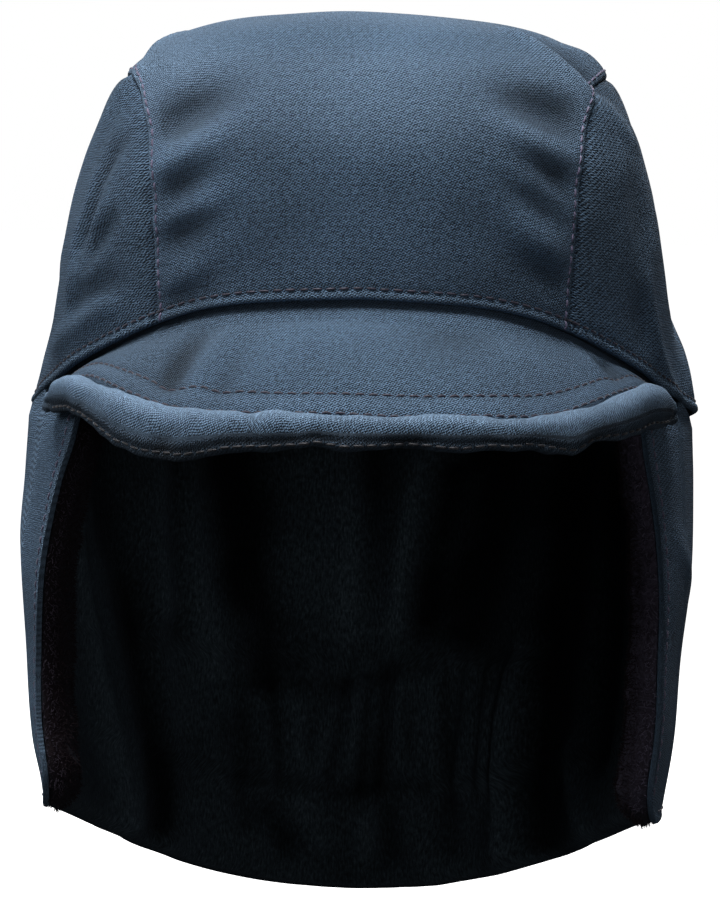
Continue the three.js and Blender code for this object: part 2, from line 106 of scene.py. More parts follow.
def step(zero, one, at):
    t = np.clip((at - zero) / (one - zero), 0, 1)
    return t * t * (3 - 2 * t)


# 1 along a line of points in the plane, fading to both sides and at its ends
def lineBell(flat, line, width, fade):
    steps = np.diff(line, axis=0)
    lengths = np.linalg.norm(steps, axis=-1)
    best, place, walked = np.full(flat.shape[:-1], 1e9), np.zeros(flat.shape[:-1]), 0.0
    for start, run, length in zip(line, steps, lengths):
        along = np.clip(((flat - start) @ run) / length**2, 0, 1)
        away = np.linalg.norm(flat - start - along[..., None] * run, axis=-1)
        place = np.where(away < best, walked + along * length, place)
        best, walked = np.minimum(best, away), walked + length
    return bell(best, width) * step(0, fade, place) * step(walked, walked - fade, place)


def wander(p, wavelength, seed, waves=16):  # smooth noise about -1 to 1, as a sum of seeded waves
    rng = np.random.default_rng(seed)
    total = np.zeros(p.shape[:-1])
    for _ in range(waves):
        heading = rng.normal(size=3)
        heading /= np.linalg.norm(heading)
        turns = 2 * math.pi / (wavelength * rng.uniform(0.7, 1.5))
        total += np.sin(p @ heading * turns + rng.uniform(0, 2 * math.pi))
    return total * math.sqrt(2 / waves) * 0.7


def wandering(p, parts):  # parts are height, wavelength and seed
    return sum(height * wander(p, wavelength, seed) for height, wavelength, seed in parts)


def profileRadius(fan):
    front = np.cos(fan) >= 0
    reach = np.where(front, crownForm["frontReach"], crownForm["backReach"])
    power = np.where(front, squareness["frontProfile"], squareness["backProfile"])
    along = (np.abs(np.cos(fan)) / reach) ** power
    up = (np.abs(np.sin(fan)) / crownForm["height"]) ** power
    bulge = brow["bulge"] * np.exp(-(((np.degrees(fan) - brow["fan"]) / brow["spread"]) ** 2))
    return (along + up) ** (-1 / power) + bulge


def acrossPower(fan):
    low, high = squareness["plan"], squareness["overTop"]
    return low + (high - low) * np.abs(np.sin(fan)) ** squareness["gain"]


def archedBy(fan, share):  # the top comes down a little to both sides
    return 1 - squareness["topArch"] * (share * np.sin(fan)) ** 2


def level(p):  # below 1 inside the form, 1 on it
    x, back, z = np.abs(p[..., 0]), p[..., 1] - crownForm["centreY"], p[..., 2]
    up = np.maximum(z - crownForm["baseZ"], 0)
    fan = np.arctan2(up, -back)
    power = acrossPower(fan)
    share = x / readTable(leanTable, "z", "half", z)
    radius = profileRadius(fan) * archedBy(fan, np.minimum(share, 1))
    above = share**power + (np.hypot(back, up) / radius) ** power
    front, rear = (readTable(flapFormTable, "z", of, z) for of in ("front", "back"))
    below = (x / readTable(flapFormTable, "z", "half", z)) ** squareness["plan"]
    below = below + (np.abs(back) / np.where(back < 0, front, rear)) ** squareness["plan"]
    return np.where(z > crownForm["baseZ"], above, below)


def outward(p):
    d = 0.5
    shifts = np.eye(3) * d
    normal = np.stack([level(p + s) - level(p - s) for s in shifts], axis=-1)
    return normal / np.linalg.norm(normal, axis=-1, keepdims=True)


def castOut(start, heading, far=260.0):  # where rays from inside leave the form
    near = np.zeros(np.broadcast(start[..., 0], heading[..., 0]).shape)
    far = np.full(near.shape, far)
    for _ in range(30):
        middle = (near + far) / 2
        inside = level(start + heading * middle[..., None]) < 1
        near, far = np.where(inside, middle, near), np.where(inside, far, middle)
    return start + heading * near[..., None]


def turnOf(p):  # angle round the head from the front, in degrees
    return np.degrees(np.abs(np.arctan2(p[..., 0], crownForm["centreY"] - p[..., 1])))


def edgeHeight(turn):
    return readTable(edgeTable, "turn", "z", np.abs(turn))


def wallPoint(turn, z):  # plus to the right
    turn, z = np.broadcast_arrays(np.radians(turn), np.asarray(z, float))
    start = np.stack([np.zeros_like(z), np.full_like(z, crownForm["centreY"]), z], axis=-1)
    return castOut(start, np.stack([np.sin(turn), -np.cos(turn), np.zeros_like(z)], axis=-1))


def seamHalf(fan):
    return readTable(seamTable, "fan", "x", np.degrees(fan))


def fanPoint(fan, x):
    fan, x = np.broadcast_arrays(np.asarray(fan, float), np.asarray(x, float))
    z = np.full(fan.shape, 50.0)
    for _ in range(30):
        power = acrossPower(fan)
        ratio = np.minimum(np.abs(x) / readTable(leanTable, "z", "half", z), 0.999)
        radius = profileRadius(fan) * archedBy(fan, ratio) * (1 - ratio**power) ** (1 / power)
        height = crownForm["baseZ"] + radius * np.sin(fan)
        z = (z + height) / 2
    return np.stack([x, crownForm["centreY"] - radius * np.cos(fan), height], axis=-1)


def edgeFan(share, inset, guess):  # the fan angle where a line on the crown meets the lower edge
    fan = np.full(np.shape(share), math.radians(guess))
    for _ in range(30):
        p = fanPoint(fan, share * (seamHalf(fan) - inset))
        rise = np.maximum(edgeHeight(turnOf(p)) - crownForm["baseZ"], 0)
        fan = np.arctan2(rise, crownForm["centreY"] - p[..., 1])
    return fan


def fanOf(p):
    up = np.maximum(p[..., 2] - crownForm["baseZ"], 0)
    return np.degrees(np.arctan2(up, crownForm["centreY"] - p[..., 1]))


# the relief of the crown's cloth: puckers drawn in by the seams, creases over the top and long drapes
puckers = [
    # x, z, depth (minus for a ridge), length, width, tilt
    (-52.1, 78.4, 4.2, 15, 5.2, 28), (-49.3, 68.8, -1.6, 14, 4, 31), (-53.1, 58.4, 2.4, 11, 4, 25),
    (-48.2, 53.2, -1.1, 12, 3.6, 28), (-52.9, 45.6, 1.9, 11, 4, 22), (-48.9, 35.5, -1.1, 12, 4, 36),
    (-52.6, 28.4, 1.1, 10, 3.5, 15),
    (50.9, 81.9, 4.6, 15, 5.6, 22), (45.7, 74.1, -1.5, 13, 4, 28), (52.5, 64.6, 2.5, 12, 3.8, 30),
    (46.8, 61.0, -1.1, 12, 3.2, 36), (48.8, 56.4, 1.8, 11, 3.6, 36), (48.4, 46.3, -1.2, 13, 4, 38),
    (50.8, 37.2, 1.3, 10, 3.8, 24),
]
# lines in the cloth laid flat: across and by 2.6 mm for each degree of the fan on the crown's middle panel
clothByFan = 2.6
creases = [
    # height (minus for a valley), width, points of (x, fan)
    (1.7, 3.6, [(64, 40.5), (58.4, 43.8), (50.4, 45.9), (42, 48.7), (34, 52)]),
    (-4.4, 6.0, [(69, 45), (64.5, 47.5), (56.5, 50), (48.5, 53), (40, 57)]),
    (1.5, 3.2, [(-66, 42), (-64.7, 47.2), (-63.2, 49.4), (-61.6, 52), (-57, 60), (-52, 70)]),
    (-3.4, 5.0, [(-71, 47), (-69, 51), (-67, 55), (-63, 62), (-58.5, 71)]),
    (2.0, 7.0, [(-72, 42), (-67, 50)]),
    (1.8, 6.0, [(65, 52), (60, 60)]),
]
sideFolds = [
    # side, height (minus for a valley), width, points of (y, z) from the top down
    (-1, 1.5, 2.6, [(-88.4, 70), (-84.5, 60.8), (-80.7, 53), (-74.4, 45),
                    (-70.6, 38), (-67.7, 29.5), (-64, 18)]),
    (-1, -1.9, 3.2, [(-102, 74), (-98, 71), (-93.3, 68.4), (-88, 61.4),
                     (-84.9, 55.2), (-78.5, 43.8), (-73.8, 32.4)]),
    (-1, 1.3, 2.6, [(-98, 57.3), (-92, 53), (-87.8, 49.6), (-78.8, 40.2), (-72.2, 32.4), (-69, 24)]),
    (-1, -1.4, 2.8, [(-100, 56), (-94, 50), (-86, 42), (-80, 33)]),
    (-1, 1.1, 2.6, [(-95, 46.5), (-87.8, 39.8), (-83.8, 36.4), (-79.4, 31.2), (-76.2, 25)]),
    (-1, 1.4, 3.4, [(-97, 29), (-90, 26.5), (-84.7, 25.2), (-75.5, 21.8),
                    (-65.3, 18), (-54.3, 13.3), (-46, 8)]),
    (-1, -1.1, 3.0, [(-97, 35), (-88.9, 32), (-77, 28), (-60, 19)]),
    (-1, -0.8, 9.0, [(24, 92), (42, 50), (58, 4)]),
    (-1, 1.0, 7.0, [(-50, 80), (-34, 40), (-22, 4)]),
    (-1, -1.2, 8.0, [(-34, 84), (-14, 44), (4, 2)]),
    (1, 3.0, 13.0, [(-29, 26), (-26, 10), (-24, -22)]),
    (-1, -1.6, 12.0, [(-30, 40), (-26, 4)]),
    (1, 1.5, 3.0, [(-80, 44), (-72, 28), (-62, 15.7), (-48, 5), (-34, -7)]),
    (1, -1.0, 4.0, [(-82, 38), (-75, 24), (-68, 12)]),
    (1, 1.0, 3.6, [(-92, 88), (-90, 83), (-82, 77), (-64, 71)]),
    (1, -1.5, 8.0, [(-90, 70), (-82, 57), (-75, 42)]),
    (1, -1.2, 7.0, [(-56, 84), (-42, 44), (-26, 6)]),
    (1, 0.8, 8.0, [(-30, 86), (-12, 40), (4, 2)]),
    (1, -1.0, 10.0, [(34, 88), (48, 44), (60, 2)]),
]
beadSet = {"height": 2.0, "proud": 0.5, "stitchAt": 3.0, "stitchDip": 0.22, "stitchWidth": 0.7}
foldSet = {"fadePuckers": (-28, -50), "fadeCreases": (-10, -40), "sideFrom": (56, 68), "lineEnds": (12, 14)}
crownWander = [(0.25, 46, 5), (0.1, 17, 6)]


def crownFolds(p):
    x, y, z = p[..., 0], p[..., 1], p[..., 2]
    relief = np.zeros(x.shape)
    front = step(*foldSet["fadePuckers"], y)
    creaseEnd, foldEnd = foldSet["lineEnds"]
    for dentX, dentZ, depth, length, width, tilt in puckers:
        side = math.copysign(1, dentX)
        across, up, lean = side * (x - dentX), z - dentZ, math.radians(tilt)
        along = across * math.cos(lean) - up * math.sin(lean)
        over = across * math.sin(lean) + up * math.cos(lean)
        inwards = seamHalf(np.radians(fanOf(p))) - side * x
        held = 0.3 + 0.7 * step(0, 7, inwards)  # the seam itself stays in its place
        relief -= depth * bell(along, length) * bell(over, width) * front * held * (side * x > 20)
    flat = np.stack([x, fanOf(p) * clothByFan], axis=-1)
    for height, width, line in creases:
        ends = np.array([(lineX, fan * clothByFan) for lineX, fan in line])
        relief += height * lineBell(flat, ends, width, creaseEnd) * step(*foldSet["fadeCreases"], y)
    for side, height, width, line in sideFolds:
        fold = lineBell(p[..., 1:], np.array(line, float), width, foldEnd)
        relief += height * fold * step(*foldSet["sideFrom"], side * x)
    return relief + wandering(p, crownWander)


def beadRelief(p):
    above = p[..., 2] - edgeHeight(turnOf(p))
    bead = beadSet["proud"] * np.sqrt(np.clip(1 - (2 * above / beadSet["height"] - 1) ** 2, 0, 1)) ** 0.7
    dip = beadSet["stitchDip"] * bell(above - beadSet["stitchAt"], beadSet["stitchWidth"])
    return np.where(above < beadSet["height"], bead, 0) - dip


# meshes from grids of points
def arcUv(grid, flip=(1, 1)):  # flip keeps the twill's lines leaning the same way on every piece
    across = np.linalg.norm(np.diff(grid, axis=1), axis=-1)
    along = np.linalg.norm(np.diff(grid, axis=0), axis=-1)
    u = np.concatenate([np.zeros((grid.shape[0], 1)), np.cumsum(across, axis=1)], axis=1)
    u -= u[:, u.shape[1] // 2][:, None]
    v = np.concatenate([np.zeros((1, grid.shape[1])), np.cumsum(along, axis=0)], axis=0)
    return np.stack([u * flip[0], v * flip[1]], axis=-1)


def eased(u, start, slope):  # the map runs slower before its start, where the cloth is seen edge on
    return np.where(u < start, start + (u - start) * slope, u)


def makeMesh(name, points, faces, uv, wearAndHighlight, sharp=50, shade=None):
    points = np.asarray(points, float) * mm
    faces = [np.asarray(f, np.int64) for f in faces]
    fans = [(f, k) for f in faces for k in range(1, f.shape[1] - 1)]
    first = np.concatenate([np.stack([f[:, 0], f[:, k], f[:, k + 1]], axis=1) for f, k in fans])
    a, b, c = points[first[:, 0]], points[first[:, 1]], points[first[:, 2]]
    if float((a * np.cross(b, c)).sum()) < 0:  # turned inside out, so every face is turned round
        faces = [f[:, ::-1] for f in faces]
    mesh = bpy.data.meshes.new(name)
    mesh.from_pydata(points.tolist(), [], [row for f in faces for row in f.tolist()])
    mesh.validate()
    loops = np.empty(len(mesh.loops), np.int32)
    mesh.loops.foreach_get("vertex_index", loops)
    layer = mesh.uv_layers.new(name="clothMap")
    layer.data.foreach_set("uv", (np.asarray(uv, float)[loops] * 0.1).ravel().astype(np.float32))
    for attribute, values in (("wearAndHighlight", wearAndHighlight), ("shade", shade)):
        if values is not None:
            layer = mesh.attributes.new(attribute, "FLOAT", "POINT")
            layer.data.foreach_set("value", np.asarray(values, np.float32))
    mesh.shade_smooth()
    if sharp:
        mesh.set_sharp_from_angle(angle=math.radians(sharp))
    mesh.update()
    piece = bpy.data.objects.new(name, mesh)
    bpy.context.scene.collection.objects.link(piece)
    return piece


def gridFaces(rows, columns, start, flip, wrap=False):
    r, c = np.meshgrid(np.arange(rows - 1), np.arange(columns if wrap else columns - 1), indexing="ij")
    at = lambda rr, cc: (start + rr * columns + cc % columns).ravel()
    corners = [at(r, c), at(r, c + 1), at(r + 1, c + 1), at(r + 1, c)]
    return np.stack(corners[::-1] if flip else corners, axis=1)


def rimOrder(rows, columns):  # rows and columns of a grid's rim, once round
    rim = [(0, c) for c in range(columns)] + [(r, columns - 1) for r in range(1, rows)]
    rim += [(rows - 1, c) for c in range(columns - 2, -1, -1)] + [(r, 0) for r in range(rows - 2, 0, -1)]
    return np.array(rim).T


def sheetPiece(name, outer, inner, wearAndHighlight, roundRim, uv=None, sharp=50, shade=None, shadeIn=None):
    rows, columns = outer.shape[:2]
    uv = arcUv(outer) if uv is None else uv
    rimR, rimC = rimOrder(rows, columns)
    inR, inC = np.clip(rimR, 1, rows - 2), np.clip(rimC, 1, columns - 2)
    away = outer[rimR, rimC] - outer[inR, inC]
    away /= np.maximum(np.linalg.norm(away, axis=-1, keepdims=True), 1e-9)
    middle = (outer[rimR, rimC] + inner[rimR, rimC]) / 2 + away * roundRim
    count, n = rows * columns, len(rimR)
    points = np.concatenate([outer.reshape(-1, 3), inner.reshape(-1, 3), middle])
    here, ahead = np.arange(n), (np.arange(n) + 1) % n
    out = rimR * columns + rimC
    mid = 2 * count + here
    faces = [
        gridFaces(rows, columns, 0, False),
        gridFaces(rows, columns, count, True),
        np.stack([out[ahead], out[here], mid[here], mid[ahead]], axis=1),
        np.stack([mid[ahead], mid[here], count + out[here], count + out[ahead]], axis=1),
    ]
    past = uv[rimR, rimC] - uv[inR, inC]
    past /= np.maximum(np.linalg.norm(past, axis=-1, keepdims=True), 1e-9)
    allUv = np.concatenate([uv.reshape(-1, 2), uv.reshape(-1, 2), uv[rimR, rimC] + past * cloth["turnIn"]])
    allWearAndHighlight = np.concatenate([wearAndHighlight.ravel(), wearAndHighlight.ravel(), wearAndHighlight[rimR, rimC]])
    shade, shadeIn = (np.zeros((rows, columns)) if s is None else s for s in (shade, shadeIn))
    allShade = np.concatenate([shade.ravel(), shadeIn.ravel(), 0.5 * (shade + shadeIn)[rimR, rimC]])
    return makeMesh(name, points, faces, allUv, allWearAndHighlight, sharp, allShade)


def domePiece(name, outer, inner, outerTop, innerTop):  # columns run all the way round
    rows, columns = outer.shape[:2]
    count = rows * columns
    middle = (outer[0] + inner[0]) / 2 - np.array([0, 0, 1.2])
    points = np.concatenate([outer.reshape(-1, 3), inner.reshape(-1, 3), middle, [outerTop, innerTop]])
    c = np.arange(columns)
    n = (c + 1) % columns
    mid, top = 2 * count + c, 2 * count + columns
    last = (rows - 1) * columns
    faces = [
        gridFaces(rows, columns, 0, False, wrap=True),
        gridFaces(rows, columns, count, True, wrap=True),
        np.stack([n, c, mid, 2 * count + n], axis=1),
        np.stack([2 * count + n, mid, count + c, count + n], axis=1),
        np.stack([last + c, last + n, np.full(columns, top)], axis=1),
        np.stack([count + last + n, count + last + c, np.full(columns, top + 1)], axis=1),
    ]
    uv = arcUv(outer).reshape(-1, 2)
    allUv = np.concatenate([uv, uv, uv[:columns], uv[-2:]])
    return makeMesh(name, points, faces, allUv, np.zeros(len(points)), 0)


def barPiece(name, rings, wearAndHighlight, shade):
    rows, columns = rings.shape[:2]
    points = np.concatenate([rings.reshape(-1, 3), [rings[0].mean(axis=0), rings[-1].mean(axis=0)]])
    c = np.arange(columns)
    n = (c + 1) % columns
    last = (rows - 1) * columns
    faces = [
        gridFaces(rows, columns, 0, False, wrap=True),
        np.stack([n, c, np.full(columns, rows * columns)], axis=1),
        np.stack([last + c, last + n, np.full(columns, rows * columns + 1)], axis=1),
    ]
    uv = arcUv(rings).reshape(-1, 2)
    wearAndHighlight, shade = (np.concatenate([values.ravel(), [0, 0]]) for values in (wearAndHighlight, shade))
    return makeMesh(name, points, faces, np.concatenate([uv, uv[-2:]]), wearAndHighlight, 0, shade)


def spaced(count, low=0.0, high=1.0):
    return np.linspace(low, high, count)


def fineAtEnds(length, coarse, ends):  # places from 0 to 1, close together at one or both ends
    near = [0, 0.35, 0.8, 1.3, 1.8, 2.4, 3.0, 3.6, 4.4, 5.4, 6.6, 8.0]
    low = [d / length for d in near] if ends[0] else [0]
    high = [1 - d / length for d in reversed(near)] if ends[1] else [1]
    count = max(int((high[0] - low[-1]) * length / coarse), 2)
    return np.array(low + list(spaced(count + 1, low[-1], high[0])[1:-1]) + high)


# node trees: an input takes a value, or the socket that feeds it
def addNode(tree, kind, inputs=None, **settings):
    node = tree.nodes.new(kind)
    for name, value in settings.items():
        setattr(node, name, value)
    for name, value in (inputs or {}).items():
        if isinstance(value, bpy.types.NodeSocket):
            tree.links.new(value, node.inputs[name])
        else:
            node.inputs[name].default_value = value
    return node


def mathNode(tree, operation, *values, clamp=False):
    node = addNode(tree, "ShaderNodeMath", dict(enumerate(values)), operation=operation, use_clamp=clamp)
    return node.outputs[0]


def mixColour(tree, factor, low, high):
    return addNode(tree, "ShaderNodeMix", {0: factor, 6: low, 7: high}, data_type="RGBA").outputs[2]


def noiseNode(tree, vector, scale, detail=2.0, roughness=0.5):
    inputs = {"Vector": vector, "Scale": scale, "Detail": detail, "Roughness": roughness}
    return addNode(tree, "ShaderNodeTexNoise", inputs).outputs["Fac"]


def attributeNode(tree, name):
    return addNode(tree, "ShaderNodeAttribute", attribute_name=name).outputs["Fac"]


def objectPlace(tree):
    return addNode(tree, "ShaderNodeTexCoord").outputs["Object"]


def clothPlace(tree):  # the piece's own map, in centimetres of cloth
    return addNode(tree, "ShaderNodeUVMap", uv_map="clothMap").outputs["UV"]


def shadedColour(tree, colour):  # darker in the folds, lighter on them
    scale = mathNode(tree, "SUBTRACT", 1.0, attributeNode(tree, "shade"))
    return addNode(tree, "ShaderNodeVectorMath", {0: colour, "Scale": scale}, operation="SCALE").outputs[0]


# materials
def newMaterial(name):
    material = bpy.data.materials.new(name)
    material.use_nodes = True
    return material, material.node_tree


def setShader(tree, looks, colour=None, height=None, bump=None):  # bump is its strength and its distance
    shader = tree.nodes["Principled BSDF"]
    for name, value in looks.items():
        shader.inputs[name].default_value = value
    if colour is not None:
        tree.links.new(colour, shader.inputs["Base Color"])
    if height is not None:
        inputs = {"Strength": bump[0], "Distance": bump[1], "Height": height}
        tree.links.new(addNode(tree, "ShaderNodeBump", inputs).outputs["Normal"], shader.inputs["Normal"])


# twill: three sets of fine lines cross in the weave
twillSet = {
    "deep": (0.006, 0.011, 0.019), "light": (0.154, 0.259, 0.398), "wornAndLit": (0.19, 0.285, 0.41),
    "waves": [(0.70, -27.7, 0.42), (0.658, 63.7, 0.37), (0.68, -65.7, 0.37)],  # pitch, heading, strength
    "fibre": (24.0, 2.2), "fleck": (8.0, 1.5), "patch": (30.0, 0.45),  # noise scale and strength
    "swayScale": 4.0, "sway": (0.05, 0.05, 0), "bump": (0.9, 0.00038),
    "looks": {
        "Roughness": 0.82, "Sheen Weight": 0.28, "Sheen Roughness": 0.45,
        "Sheen Tint": (0.45, 0.62, 0.85, 1), "Specular IOR Level": 0.25,
    },
}


def lineWave(tree, vector, heading, pitch):
    turns, angle = 2 * math.pi / (pitch * 0.1), math.radians(heading)
    across = (math.cos(angle) * turns, math.sin(angle) * turns, 0)
    along = addNode(tree, "ShaderNodeVectorMath", {0: vector, 1: across}, operation="DOT_PRODUCT")
    return mathNode(tree, "SINE", along.outputs["Value"])


def makeTwill(name, shade=1.0, wornAndLit=1.0):
    material, tree = newMaterial(name)
    place = clothPlace(tree)
    sway = {0: noiseNode(tree, place, twillSet["swayScale"]), 1: twillSet["sway"], 2: place}
    swayed = addNode(tree, "ShaderNodeVectorMath", sway, operation="MULTIPLY_ADD").outputs[0]
    scale, strength = twillSet["fibre"]
    weave = mathNode(tree, "MULTIPLY_ADD", noiseNode(tree, place, scale), strength, 0.5 - strength / 2)
    for pitch, heading, strength in twillSet["waves"]:
        wave = lineWave(tree, swayed, heading, pitch)
        weave = mathNode(tree, "ADD", weave, mathNode(tree, "MULTIPLY", wave, strength))
    tone = weave
    for key, vector, detail in (("fleck", place, 2.0), ("patch", objectPlace(tree), 3.0)):
        scale, strength = twillSet[key]
        noise = noiseNode(tree, vector, scale, detail)
        shift = mathNode(tree, "MULTIPLY_ADD", noise, strength, -strength / 2)
        tone = mathNode(tree, "ADD", tone, shift, clamp=True)
    low, high, bare = (
        tuple(v * by for v in twillSet[key]) + (1,)
        for key, by in (("deep", shade), ("light", shade), ("wornAndLit", wornAndLit))
    )
    # the wear and highlight attribute turns the cloth paler: real wear at the seams and edges, and painted
    # highlights where the light falls
    raised = mathNode(tree, "ADD", tone, 0.25)
    rubbedAndLit = mathNode(tree, "MULTIPLY", attributeNode(tree, "wearAndHighlight"), raised, clamp=True)
    colour = mixColour(tree, rubbedAndLit, mixColour(tree, tone, low, high), bare)
    setShader(tree, twillSet["looks"], shadedColour(tree, colour), weave, twillSet["bump"])
    return material


# pile: on its wear and highlight attribute 0 to 1 goes over to the edge's colour and 1 to 2 to the pale plush
pileSet = {
    "deep": (0.0030, 0.0044, 0.0056, 1), "light": (0.112, 0.158, 0.195, 1), "edge": (0.0125, 0.0078, 0.0100, 1),
    "pale": (0.15, 0.135, 0.20, 1), "clumpScale": 5.5, "streakScale": 1.6, "stretch": (9.0, 2.6, 1.0),
    "streak": 0.85, "clump": 0.35, "gain": 1.1, "power": 3.4, "bump": (0.9, 0.0011),
    "looks": {
        "Roughness": 0.95, "Sheen Weight": 0.12, "Sheen Roughness": 0.5,
        "Sheen Tint": (0.35, 0.45, 0.6, 1), "Specular IOR Level": 0.1,
    },
}


def makePile():
    material, tree = newMaterial("curledPile")
    place = clothPlace(tree)
    stretched = addNode(tree, "ShaderNodeMapping", {"Vector": place, "Scale": pileSet["stretch"]})
    streak = noiseNode(tree, stretched.outputs["Vector"], pileSet["streakScale"], 4.0, 0.65)
    clump = noiseNode(tree, place, pileSet["clumpScale"], 4.0, 0.7)
    parts = (("streak", streak), ("clump", clump))
    height = mathNode(tree, "ADD", *(mathNode(tree, "MULTIPLY", noise, pileSet[key]) for key, noise in parts))
    tone = mathNode(tree, "MULTIPLY", height, pileSet["gain"], clamp=True)
    tone = mathNode(tree, "POWER", tone, pileSet["power"])
    wearAndHighlight = attributeNode(tree, "wearAndHighlight")
    edge = mathNode(tree, "MULTIPLY", wearAndHighlight, 1.0, clamp=True)
    beyond = mathNode(tree, "SUBTRACT", wearAndHighlight, 1.0, clamp=True)
    colour = mixColour(tree, edge, mixColour(tree, tone, pileSet["deep"], pileSet["light"]), pileSet["edge"])
    colour = mixColour(tree, beyond, colour, mixColour(tree, tone, pileSet["edge"], pileSet["pale"]))
    setShader(tree, pileSet["looks"], shadedColour(tree, colour), height, pileSet["bump"])
    return material


threadSet = {
    "dark": ((0.010, 0.008, 0.022, 1), (0.036, 0.030, 0.062, 1)),  # painted shade between the strands, painted highlight on them
    "pale": ((0.05, 0.045, 0.09, 1), (0.34, 0.30, 0.48, 1)),
    "shadow": ((0.004, 0.0036, 0.008, 1), (0.012, 0.011, 0.020, 1)),
    "twist": 900.0, "power": 2.2, "bump": (0.4, 0.0001), "looks": {"Roughness": 0.5, "Sheen Weight": 0.3},
}


def makeThread(name, tone):
    material, tree = newMaterial(name)
    twist = noiseNode(tree, objectPlace(tree), threadSet["twist"])
    colour = mixColour(tree, mathNode(tree, "POWER", twist, threadSet["power"]), *threadSet[tone])
    setShader(tree, threadSet["looks"], colour, twist, threadSet["bump"])
    return material


# the side panels, the peak and the rim get copies of the same twill, painted darker or lighter for the light on
# each part: painted shade on the side panels and the peak, painted light on the rim, whose pale worn colour is
# also raised as a painted highlight
twill = makeTwill("navyTwill")
leftShadedTwill = makeTwill("leftShadedTwill", 0.73)
rightShadedTwill = makeTwill("rightShadedTwill", 0.74)
peakShadedTwill = makeTwill("peakShadedTwill", 0.84)
rimLitTwill = makeTwill("rimLitTwill", 1.1, 1.5)
pile = makePile()
darkThread = makeThread("darkThread", "dark")
paleThread = makeThread("paleThread", "pale")
rimThread = makeThread("rimThread", "shadow")
print("materials ready")


def finish(piece, material, slotName, *nodes):
    piece.data.materials.clear()
    piece.data.materials.append(material)
    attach(piece, "root")
    if nodes:
        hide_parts(*nodes)
    return piece


# crown panels
panelSet = {
    "halfWidth": 66, "length": 335, "sideHeight": 112, "sideLength": 230, "coarse": 2.0, "rimRound": 0.4,
    "fanGuess": (17, 180), "sideCorners": (62, 128), "slant": 1.08, "sideDrop": 0.55, "dropWidth": 2.4,
    "seamDip": 0.75, "seamWidth": 1.1, "seamNear": 0.6, "stitchIn": 1.5, "stitchDip": 0.22, "browHighlight": 0.55,
    "lowShade": 0.22, "rightLight": 0.36, "ridgeLight": 0.35, "edgeWear": 0.12, "seamWear": 0.28,
    "foldDepth": 3.2, "foldLight": -0.22, "foldDark": 0.75, "foldGain": 0.75,
    "browHighlightLow": (64, 80), "browHighlightHigh": (104, 92), "browHighlightFront": (-60, -84),
}
lightRidge = np.array([(-38.0, 44.0), (-31.0, 2.0)])  # y and z of the ridge on the right side where light is painted


def seamGap(p):  # distance from the seam, in millimetres, plus inside the centre panel
    fan = np.radians(fanOf(p))
    return (seamHalf(fan) - np.abs(p[..., 0])) * panelSet["slant"]


def crownCloth(p, isSide):
    folds = crownFolds(p)
    # painted shade in the folds' hollows, painted light on their ridges
    shade = np.clip(-folds / panelSet["foldDepth"], panelSet["foldLight"], panelSet["foldDark"])
    shade = shade * panelSet["foldGain"]
    relief = folds + beadRelief(p)
    away = np.abs(seamGap(p))
    wearAndHighlight = panelSet["edgeWear"] * bell(p[..., 2] - edgeHeight(turnOf(p)) - 1.2, 1.0)
    if isSide:
        relief -= panelSet["sideDrop"] * bell(away, panelSet["dropWidth"])
        relief -= panelSet["seamDip"] * bell(away, panelSet["seamWidth"])
        # painted light: the right side panel lighter low down and along one ridge
        low = panelSet["rightLight"] * step(46, 16, p[..., 2])
        ridge = panelSet["ridgeLight"] * lineBell(p[..., 1:], lightRidge, 4.5, 8.0)
        shade = shade - (low + ridge) * (p[..., 0] > 0)
    else:
        relief -= panelSet["seamDip"] * bell(away, panelSet["seamNear"])
        relief -= panelSet["stitchDip"] * bell(away - panelSet["stitchIn"], panelSet["seamNear"])
        # painted highlight: a paler band high on the front of the centre panel, where the light falls
        band = step(*panelSet["browHighlightLow"], p[..., 2]) * step(*panelSet["browHighlightHigh"], p[..., 2])
        band = band * step(*panelSet["browHighlightFront"], p[..., 1])
        # painted shade: the front of the centre panel darker low down
        shade = shade + panelSet["lowShade"] * step(50, 24, p[..., 2]) * step(-40, -60, p[..., 1])
        # real wear along the seam, and the painted highlight band
        wearAndHighlight = wearAndHighlight + panelSet["seamWear"] * bell(away - 0.7, 0.6) + panelSet["browHighlight"] * band
    normal = outward(p)
    inner = relief - cloth["thick"]
    return p + normal * relief[..., None], p + normal * inner[..., None], wearAndHighlight, shade


def centrePanel():
    half = fineAtEnds(panelSet["halfWidth"], panelSet["coarse"], (False, True))
    shares = np.concatenate([-half[:0:-1], half])
    places = fineAtEnds(panelSet["length"], panelSet["coarse"], (True, True))
    low, high = (edgeFan(shares, cloth["gap"] / 2, guess) for guess in panelSet["fanGuess"])
    fan = low[None, :] + (high - low)[None, :] * places[:, None]
    grid = fanPoint(fan, shares[None, :] * (seamHalf(fan) - cloth["gap"] / 2))
    outer, inner, wearAndHighlight, shade = crownCloth(grid, False)
    return sheetPiece("crownCentrePanel", outer, inner, wearAndHighlight, panelSet["rimRound"], shade=shade)


